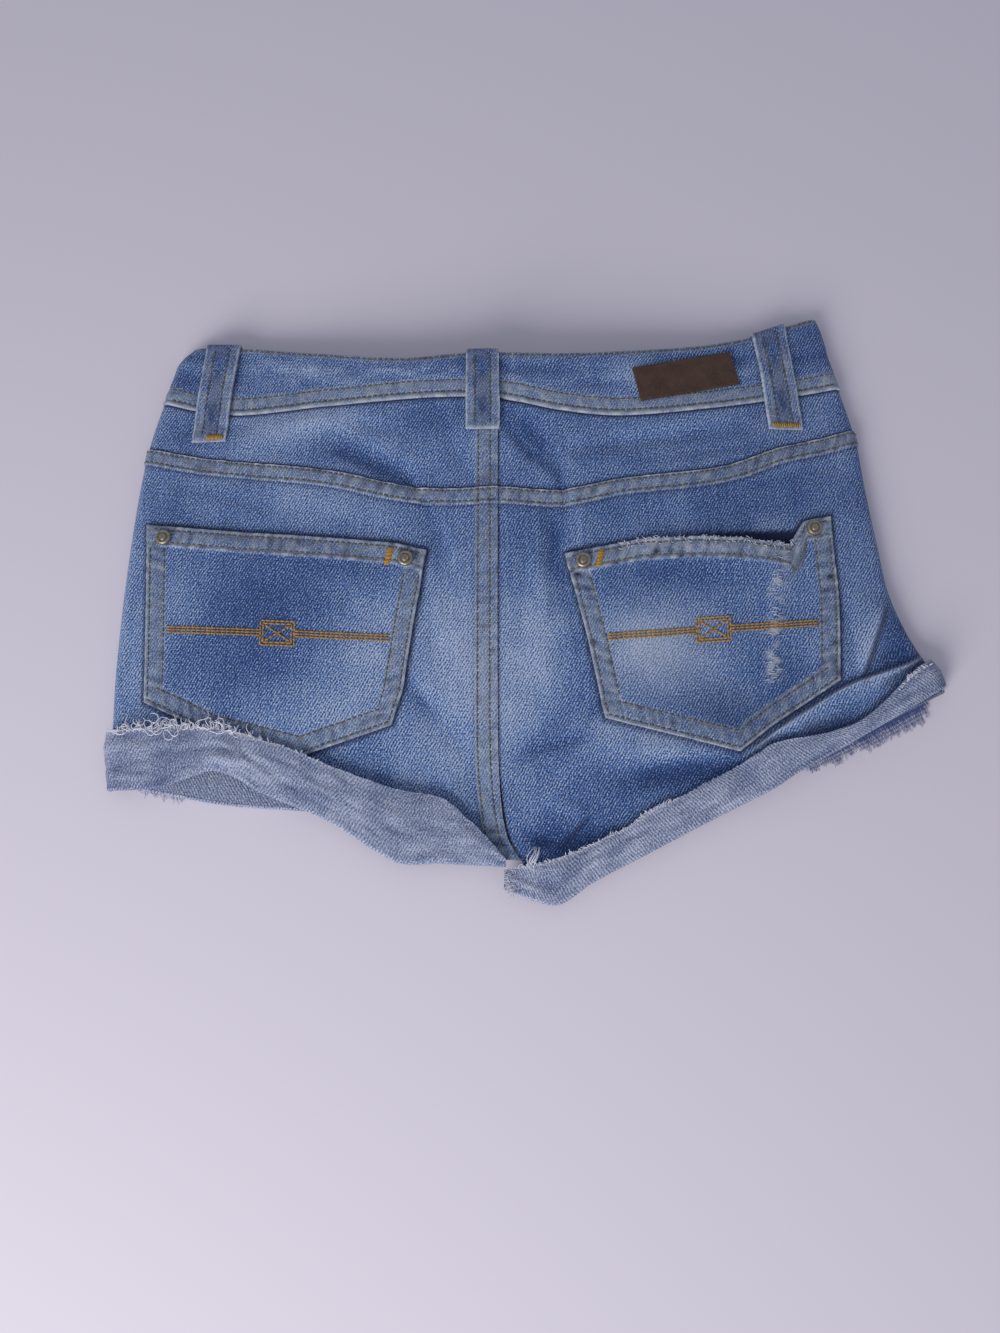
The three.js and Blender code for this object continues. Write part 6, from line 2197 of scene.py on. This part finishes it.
@dataclass
class Cuffs(Assembly):
    """The rolled cuffs, wrong side out, with their frayed raw edges."""

    back_turn: Turn = Turn(1.4, 2.2)
    front_turn: Turn = Turn(0.4, 0.4)
    double_from: float = -170.0
    double_to: float = -150.0
    double_extra: float = 1.3
    end_left: float = -12.0
    end_right: float = -13.0

    def section(self, turn: Turn, width: np.ndarray, twice: np.ndarray, puff: float,
                steps: int) -> tuple[np.ndarray, np.ndarray, np.ndarray, np.ndarray]:
        """Works out a cuff's section, from the leg's edge round the fold to the raw edge.

        Args:
            turn: how it stands off the leg.
            width: its width at each column.
            twice: how much thicker it is where it is rolled twice.
            puff: how much it bulges between fold and edge.
            steps: how many steps its face has.

        Returns:
            Distances up the leg and lifts, of the outer face and of the inner.
        """
        bend = np.linspace(0, np.pi, 12)[None]
        outer_radius = ((2 * DENIM + turn.inside + twice) / 2)[:, None]
        inner_radius = turn.inside / 2
        t = np.concatenate([np.linspace(0, 1, steps)[1:-3], [1 - 0.04, 1 - 0.014, 1.0]])[None]
        flat = mix(turn.start, width[:, None], t)
        off = mix(turn.inside, turn.in_edge, smooth(t * 1.3))
        lift = off + DENIM + twice[:, None] + puff * np.sin(np.pi * t)
        s = np.concatenate([turn.start - outer_radius * np.sin(bend), flat], 1)
        out = np.concatenate([outer_radius - DENIM - outer_radius * np.cos(bend), lift], 1)
        inner_s = np.concatenate([turn.start - inner_radius * np.sin(bend) + 0 * outer_radius, flat], 1)
        inner = np.concatenate([inner_radius * (1 - np.cos(bend)) + 0 * outer_radius, off + 0 * flat], 1)
        return s, out, inner_s, inner

    def ragged(self, side: Side, x: np.ndarray) -> np.ndarray:
        """Returns how far the raw edge strays: saw teeth on the right cuff, soft elsewhere.

        Args:
            side: the side of the garment.
            x: places across the garment, in millimetres.

        Returns:
            One value for each place.
        """
        saw = np.abs(np.mod(x / 2.6, 1) - 0.5) * 2 - 0.5
        teeth = 0.9 * saw * smooth((x + 4) / 6) * smooth((116 - x) / 8)
        soft = 0.35 * uneven(x, 0 * x, 2.4, 131) + 0.5 * uneven(x, 0 * x, 9, 132)
        return soft + (teeth if side is Side.RIGHT else 0)

    def relief(self, side: Side, x: np.ndarray, s: np.ndarray, width: np.ndarray) -> np.ndarray:
        """Returns the lengthwise creases and given dents of a back cuff.

        Args:
            side: the side of the garment.
            x: places across the garment, in millimetres.
            s: distances up the cuff from its fold, in millimetres.
            width: the width, in millimetres.

        Returns:
            One value for each place.
        """
        t = s / width
        away = smooth(t * 5) * smooth((1.02 - t) * 8)
        lines = 0.5 * uneven(x * 0.28, s * 1.1, 3.1, 133) + 0.35 * uneven(x, s, 7, 134)
        if side is Side.LEFT:
            ridge = np.abs((x + 142) * 0.33 - (s - 11) * 0.94)
            lines = lines + 1.1 * bump(ridge, 3.2) * smooth((-140 - x) / 6) * smooth((x + 168) / 6)
        return lines * away

    def folded(self, layer: Layer, cut: Cut, u: np.ndarray, share: np.ndarray,
               lift: np.ndarray) -> np.ndarray:
        """Returns points of a cuff's face at shares of its width, so far off the leg."""
        points, normals = self.form.face(layer, *cut.plan(u, share))
        return points + normals * lift[..., None]

    @staticmethod
    def thread(outer: np.ndarray, row: int) -> tuple[np.ndarray, np.ndarray]:
        """Returns how far each point lies along the cuff, measured at one row, and round its section.

        Args:
            outer: the cuff's outer face, column by column.
            row: the row measured along.

        Returns:
            The two distances.
        """
        round_it = np.linalg.norm(np.diff(outer, axis=1), axis=-1)
        arc = np.concatenate([np.zeros((len(outer), 1)), np.cumsum(round_it, 1)], 1)
        along = np.linalg.norm(np.diff(outer[:, row], axis=0), axis=-1)
        return np.cumsum(np.concatenate([[0], along]))[:, None] + 0 * arc, arc

    def build_back(self, side: Side) -> None:
        """Makes a back cuff.

        Args:
            side: the side of the garment.
        """
        form = self.form
        left = side is Side.LEFT
        outline, hem, top = ((form.left, form.hem_left, form.cuff_left) if left
                             else (form.right, form.hem_right, form.cuff_right))
        cut = Cut(hem, top, outline, upright(self.end_left if left else self.end_right))
        columns = ticks(cut.length(0.2), SIDE_STEPS, [1.2, 0.6, 0.2, 0], 165 if left else 190)
        width = cut.height(columns)
        middle_x, _ = cut.plan(columns, 0.5)
        rolled = smooth((middle_x - self.double_from) / (self.double_to - self.double_from))
        twice = self.double_extra * rolled if left else 0 * middle_x
        s, out, inner_s, inner = self.section(self.back_turn, width, twice, 0.5, 24)
        stray = self.ragged(side, middle_x)[:, None]
        width = width[:, None]
        s = s + stray * smooth((s / width - 0.86) / 0.14)
        inner_s = inner_s + stray * smooth((inner_s / width - 0.86) / 0.14)
        u = columns[:, None] + 0 * s
        x, _ = cut.plan(u, s / width)
        relief = self.relief(side, x, s, width)
        outer = self.folded(Layer.BACK, cut, u, s / width, out + relief)
        inside = self.folded(Layer.BACK, cut, u, inner_s / width, inner)
        run, arc = self.thread(outer, 20)
        torn = smooth((-126 - x) / 6) if left else smooth((78 - x) / 12) + smooth((x - 186) / 5)
        raw = bump(width - s, 1.5) * torn
        # The 0.12 * relief term is painted shade: raised creases are paler, their hollows darker.
        fade = (0.5 + 0.14 * uneven(x, s, 11, 135) + 0.16 * uneven(x * 0.25, s, 2.6, 136)
                + 0.25 * bump(s - 2, 3.0) * uneven(x, s, 5, 137) + 0.12 * relief)
        # On the right, dark is painted shade at the cuff's end under the roll; on the left, the outer end is
        # simply darker.
        dark = 0.30 * smooth((-165 - x) / 8) if left else 0.12 * smooth((x - 150) / 30)
        dye = Dye(fade - dark * 0.5, 0.0, raw * (0.7 + 0.5 * uneven(x, s, 2.4, 138)), 0 * x)
        cloth = Cloth(f"cuff_back_{side.value}_cloth", f"cuff_back_{side.value}", outer, inside,
                      np.stack([run, -arc], -1), dye, self.wardrobe.cloth[::-1])
        lay(cloth)

    def build_front(self, side: Side) -> None:
        """Makes a front cuff, pressed between leg and sheet.

        Args:
            side: the side of the garment.
        """
        form = self.form
        left = side is Side.LEFT
        outline, hem, gap = ((form.left, form.front_hem_left, -HALF_SEAM) if left
                             else (form.right, form.front_hem_right, HALF_SEAM))
        places = np.linspace(-225, 225, 46)
        top = Line([(float(place), float(hem(place) + FRONT_CUFF_WIDTH)) for place in places])
        cut = Cut(hem, top, outline, upright(FLY_X), 0, 0, gap)
        columns = ticks(cut.length(0.2), SIDE_STEPS, [0.6, 0.2, 0], 110)
        width = cut.height(columns)
        s, out, inner_s, inner = self.section(self.front_turn, width, 0 * width, 0.0, 12)
        u, width = columns[:, None] + 0 * s, width[:, None]
        x, _ = cut.plan(u, s / width)
        outer = self.folded(Layer.FRONT, cut, u, s / width, out)
        inside = self.folded(Layer.FRONT, cut, u, inner_s / width, inner)
        run, arc = self.thread(outer, 14)
        shadowed = 0 * x if left else 0.55 * smooth((x - 120) / 20)
        dye = Dye(0.5 + 0.15 * uneven(x, s, 9, 139), 0.0, bump(width - s, 1.5), shadowed)
        cloth = Cloth(f"cuff_front_{side.value}_cloth", f"cuff_front_{side.value}", outer, inside,
                      np.stack([run, arc], -1), dye, self.wardrobe.cloth[::-1])
        lay(cloth)

    def build_frays(self) -> None:
        """Makes the threads along the raw edges."""
        form = self.form
        pale, middling, deep, dark, white = (0.7, 1.0), (0.4, 0.9), (-0.1, 0.6), (-0.6, 0.3), (0.8, 1.0)
        up = (Layer.BACK, form.cuff_left, 1), (Layer.BACK, form.cuff_right, 1)
        down = (Layer.FRONT, form.front_hem_left, -1), (Layer.FRONT, form.front_hem_right, -1)
        left_raw, right_hem = "fringe_cuff_left_raw", "fringe_front_right_hem"
        left_hem, right_end = "fringe_front_left_hem", "fringe_cuff_right_end"
        frays = (
            Fray(left_raw + "_threads", *up[0], -214, -131, 3.6, 120, 3, 9.5, 1.3, 1.0, 0.8, pale, 1.2,
                 left_raw, 201),
            # The right hem's fringe takes the dark tones as painted shade: it lies in the cuff's shadow.
            Fray(right_hem + "_threads", *down[1], 142, 211, 0.5, 420, 6, 12.3, 0.35, 0.5, 0.16, dark, 1.2,
                 right_hem, 202),
            Fray(left_hem + "_threads", *down[0], -204, -176, 0.3, 46, 2, 6, 0.5, -0.2, 0.4, deep, 1.2,
                 left_hem, 203),
            Fray(right_end + "_threads", *up[1], 190, 207, 3.6, 34, 3, 6, 1.1, 0.8, 0.6, pale, 1.2,
                 right_end, 204),
            Fray("fuzz_cuff_right", *up[1], -10, 76, 3.7, 120, 0.8, 3.0, 1.2, 0.3, 0.5, middling, 0.8,
                 None, 205),
            Fray("fuzz_cuff_left", *up[0], -131, -100, 4.6, 18, 0.6, 3.2, 1.2, 0.2, 0.5, middling, 0.8,
                 None, 206),
            Fray("long_threads_cuff_left", *up[0], -212, -150, 4.2, 26, 8, 17, 1.5, 1.4, 1.6, white, 2.0,
                 None, 207),
        )
        for fray in frays:
            fray.build(form, self.wardrobe.fray)
        self.fray_crotch()

    def fray_crotch(self) -> None:
        """Lays the torn threads at the inner end of the right cuff and the white tag on the seam."""
        def surface(x: np.ndarray, y: np.ndarray, over: np.ndarray) -> tuple[np.ndarray, np.ndarray]:
            """Returns places above the leg's cloth."""
            points, normals = self.form.face(Layer.BACK, x, y)
            return points + normals * (3.6 + over)[..., None], normals

        random = np.random.default_rng(161)
        start = np.stack([mix(-12, -6, random.random(80) ** 1.6), mix(-145, -157, random.random(80))], -1)
        reach = np.stack([mix(-3.0, 0.8, random.random(80)), mix(-3.2, 0.6, random.random(80))], -1)
        wisps("torn_threads_cuff_right", surface, start, start + reach, 0.4, self.wardrobe.fray, 0.17, 162,
              0.4, 0.5)
        start = np.stack([mix(1.6, 3.0, random.random(9)), mix(-135, -137, random.random(9))], -1)
        reach = np.stack([random.normal(-0.9, 0.35, 9), mix(-9.5, -6, random.random(9))], -1)
        wisps("thread_tag_crotch", surface, start, start + reach, 0.5, self.wardrobe.fray, 0.2, 163, 0.12)

    def build(self) -> None:
        """Makes the cuffs and their threads."""
        for side in Side:
            self.build_back(side)
            self.build_front(side)
        self.build_frays()


@dataclass
class Fastening(Assembly):
    """The shank button under the front waistband and the zip behind the fly."""

    tape_width: float = 26.0
    tape_length: float = 92.0
    tape_thick: float = 1.0

    def build_button(self) -> None:
        """Models the button: a rolled rim round a shallow dish, on a short shank."""
        pick_nothing()
        bpy.ops.mesh.primitive_circle_add(vertices=40, radius=7.7 * MM, fill_type="NGON")
        button = bpy.context.active_object
        bpy.ops.object.mode_set(mode="EDIT")
        bpy.ops.mesh.select_all(action="SELECT")
        for rise, scale in ((0.8, 8.5 / 7.7), (1.1, 1.0), (0.5, 0.95), (0.0, 3.0 / 8.07), (0.5, 1.0)):
            bpy.ops.mesh.extrude_region_move(TRANSFORM_OT_translate={"value": (0, 0, rise * MM)})
            bpy.ops.transform.resize(value=(scale, scale, 1))
        bpy.ops.object.mode_set(mode="OBJECT")
        soften(button, 0.3, 3)
        foot, up = np.array([BUTTON_X, BUTTON_Y, 0.0]), np.array([0, 0, 1.0])
        place_copy(button, "waistband_button_shank", foot, up,
                   self.wardrobe.nickel, "waistband_button")
        bpy.data.objects.remove(button)

    def build_zip(self) -> None:
        """Makes the zip's tape, and its teeth from one modelled tooth."""
        form = self.form
        top = float(form.front_waist_seam(FLY_X)) - 4
        v, a = np.meshgrid(np.linspace(0, 1, 50), np.linspace(-0.5, 0.5, 15), indexing="ij")
        points, normals = form.face(Layer.FRONT, FLY_X + a * self.tape_width, top - v * self.tape_length)
        outer = points - normals * (DENIM + LAY_GAP)
        inner = points - normals * (DENIM + LAY_GAP + self.tape_thick)
        thread = np.stack([a * self.tape_width, v * self.tape_length], -1)
        cloth = Cloth("fly_zip_tape", "fly_zip", outer, inner, thread, Dye(0 * a), (self.wardrobe.tape,) * 2)
        lay(cloth)
        pick_nothing()
        bpy.ops.mesh.primitive_plane_add(size=1)
        tooth = bpy.context.active_object
        bpy.ops.object.mode_set(mode="EDIT")
        bpy.ops.mesh.select_all(action="SELECT")
        bpy.ops.transform.resize(value=(2.6 * MM, 1.1 * MM, 1))
        bpy.ops.mesh.extrude_region_move(TRANSFORM_OT_translate={"value": (0, 0, 0.8 * MM)})
        bpy.ops.transform.resize(value=(0.8, 0.8, 1))
        bpy.ops.object.mode_set(mode="OBJECT")
        soften(tooth, 0.15, 2)
        count = 34
        base = np.array([vertex.co[:] for vertex in tooth.data.vertices]) / MM
        loops = [tuple(polygon.vertices) for polygon in tooth.data.polygons]
        vertices, faces = [], []
        for number in range(count * 2):
            y = top - 6 - number * (self.tape_length - 12) / (count * 2)
            x = FLY_X + (0.8 if number % 2 else -0.8)
            place, normal = form.face(Layer.FRONT, np.array(x), np.array(y))
            place = place - normal * (DENIM + LAY_GAP + self.tape_thick + 0.02)
            faces += [tuple(index + len(vertices) for index in loop) for loop in loops]
            vertices += [tuple((place + corner) * MM) for corner in base]
        mesh = bpy.data.meshes.new("fly_zip_teeth")
        mesh.from_pydata(vertices, [], faces)
        mesh.materials.append(self.wardrobe.nickel)
        bpy.data.objects.remove(tooth)
        dress(put("fly_zip_teeth", mesh))

    def build(self) -> None:
        """Makes the button and the zip."""
        self.build_button()
        self.build_zip()


class Sewing:
    """All the thread: seams, loops, pockets, embroidery and the bars of close stitches."""

    def __init__(self, wardrobe: Wardrobe) -> None:
        """Opens a group of rows for each sub-assembly.

        Args:
            wardrobe: the finishes.
        """
        self.wardrobe = wardrobe
        self.fells = Stitches("stitches_fells")
        self.band = Stitches("stitches_waistband")
        self.loops = Stitches("stitches_belt_loops")
        self.pockets = Stitches("stitches_pockets")
        self.embroidery = Stitches("embroidery_pockets")
        self.tacks = Stitches("bartacks")

    def tack(self, surface: Surface, start: tuple[float, float], end: tuple[float, float],
             half: float) -> None:
        """Sews a bar: close zigzag stitches across a short line.

        Args:
            surface: gives points for the line's coordinates.
            start: where the bar starts.
            end: where it ends.
            half: half its height, in the second coordinate, or the first if it stands upright.
        """
        count = 13
        upright = abs(end[1] - start[1]) > abs(end[0] - start[0])
        for number in range(count):
            share = (number + 0.5) / count
            a, b = mix(start[0], end[0], share), mix(start[1], end[1], share)
            lean = half * (0.9 + 0.2 * ((number * 7) % 3))
            low = (a - lean, b - 0.2) if upright else (a - half * 0.3, b - lean)
            high = (a + lean, b + 0.2) if upright else (a + half * 0.3, b + lean)
            self.tacks.row(surface, np.array([low, high]), 9.0, 1.0, 0.6, 0.5, 300 + number)

    def build(self) -> None:
        """Makes each group one piece."""
        for group in (self.fells, self.band, self.loops, self.pockets):
            group.build(self.wardrobe.tan)
        for group in (self.embroidery, self.tacks):
            group.build(self.wardrobe.gold, 0.48)


@dataclass(frozen=True)
class Studio:
    """The camera of the photograph, soft light from the bottom of the picture, and the bed sheet."""

    target: tuple[float, float, float] = (-15.0, -38.4, 0.0)
    distance: float = 556.0
    elevation: float = 77.0
    lens: float = 28.1
    window: tuple[float, float, float] = (-650.0, -1150.0, 700.0)
    floor_reach: float = 3.0

    def build(self) -> None:
        """Makes the camera, the lights and the floor."""
        tilt = math.radians(self.elevation)
        target = Vector(self.target)
        place = target + Vector((0, -math.cos(tilt), math.sin(tilt))) * self.distance
        data = bpy.data.cameras.new("camera")
        data.lens, data.sensor_width, data.sensor_fit = self.lens, 36.0, "AUTO"
        data.clip_start, data.clip_end = 0.01, 20.0
        camera = put("camera", data)
        camera.location = place * MM
        camera.rotation_euler = (target - place).to_track_quat("-Z", "Y").to_euler()
        bpy.context.scene.camera = camera
        self.light("window", self.window, 0.8, 20.0, "#fff8f0")
        world = bpy.data.worlds.new("room")
        bpy.context.scene.world = world
        world.use_nodes = True
        world.node_tree.nodes["Background"].inputs["Color"].default_value = linear("#e4e4f0")
        world.node_tree.nodes["Background"].inputs["Strength"].default_value = 0.5
        bpy.context.scene.view_settings.view_transform = "Standard"
        self.floor()

    @staticmethod
    def light(name: str, place: tuple[float, float, float], size: float, power: float, colour: str) -> None:
        """Adds a square area light, in millimetres and watts, that faces the garment.

        Args:
            name: the name of what is made.
            place: where it stands, in millimetres.
            size: its side, in metres.
            power: its power, in watts.
            colour: its colour, as hex.
        """
        data = bpy.data.lights.new(name, "AREA")
        data.size, data.energy, data.color = size, power, linear(colour)[:3]
        lamp = put(name, data)
        lamp.location = Vector(place) * MM
        lamp.rotation_euler = (-Vector(place)).to_track_quat("-Z", "Y").to_euler()

    def floor(self) -> None:
        """Lays the bed sheet."""
        mesh, far = bpy.data.meshes.new("bed_sheet"), self.floor_reach
        corners = [(-far, -far, 0), (far, -far, 0), (far, far, 0), (-far, far, 0)]
        mesh.from_pydata(corners, [], [(0, 1, 2, 3)])
        mesh.materials.append(BedSheetFinish().make())
        put("bed_sheet", mesh)


def main() -> None:
    """Builds the garment piece by piece, then the studio."""
    logging.basicConfig(level=logging.INFO, format="%(message)s")
    form, wash, wardrobe = Form(), Wash(), Wardrobe()
    Studio().build()
    sewing = Sewing(wardrobe)
    Body(form, wash, wardrobe).build(sewing)
    Waistband(form, wash, wardrobe).build(sewing)
    Pockets(form, wash, wardrobe).build(sewing)
    Cuffs(form, wash, wardrobe).build()
    Fastening(form, wash, wardrobe).build()
    sewing.build()


if __name__ == "__main__":
    main()
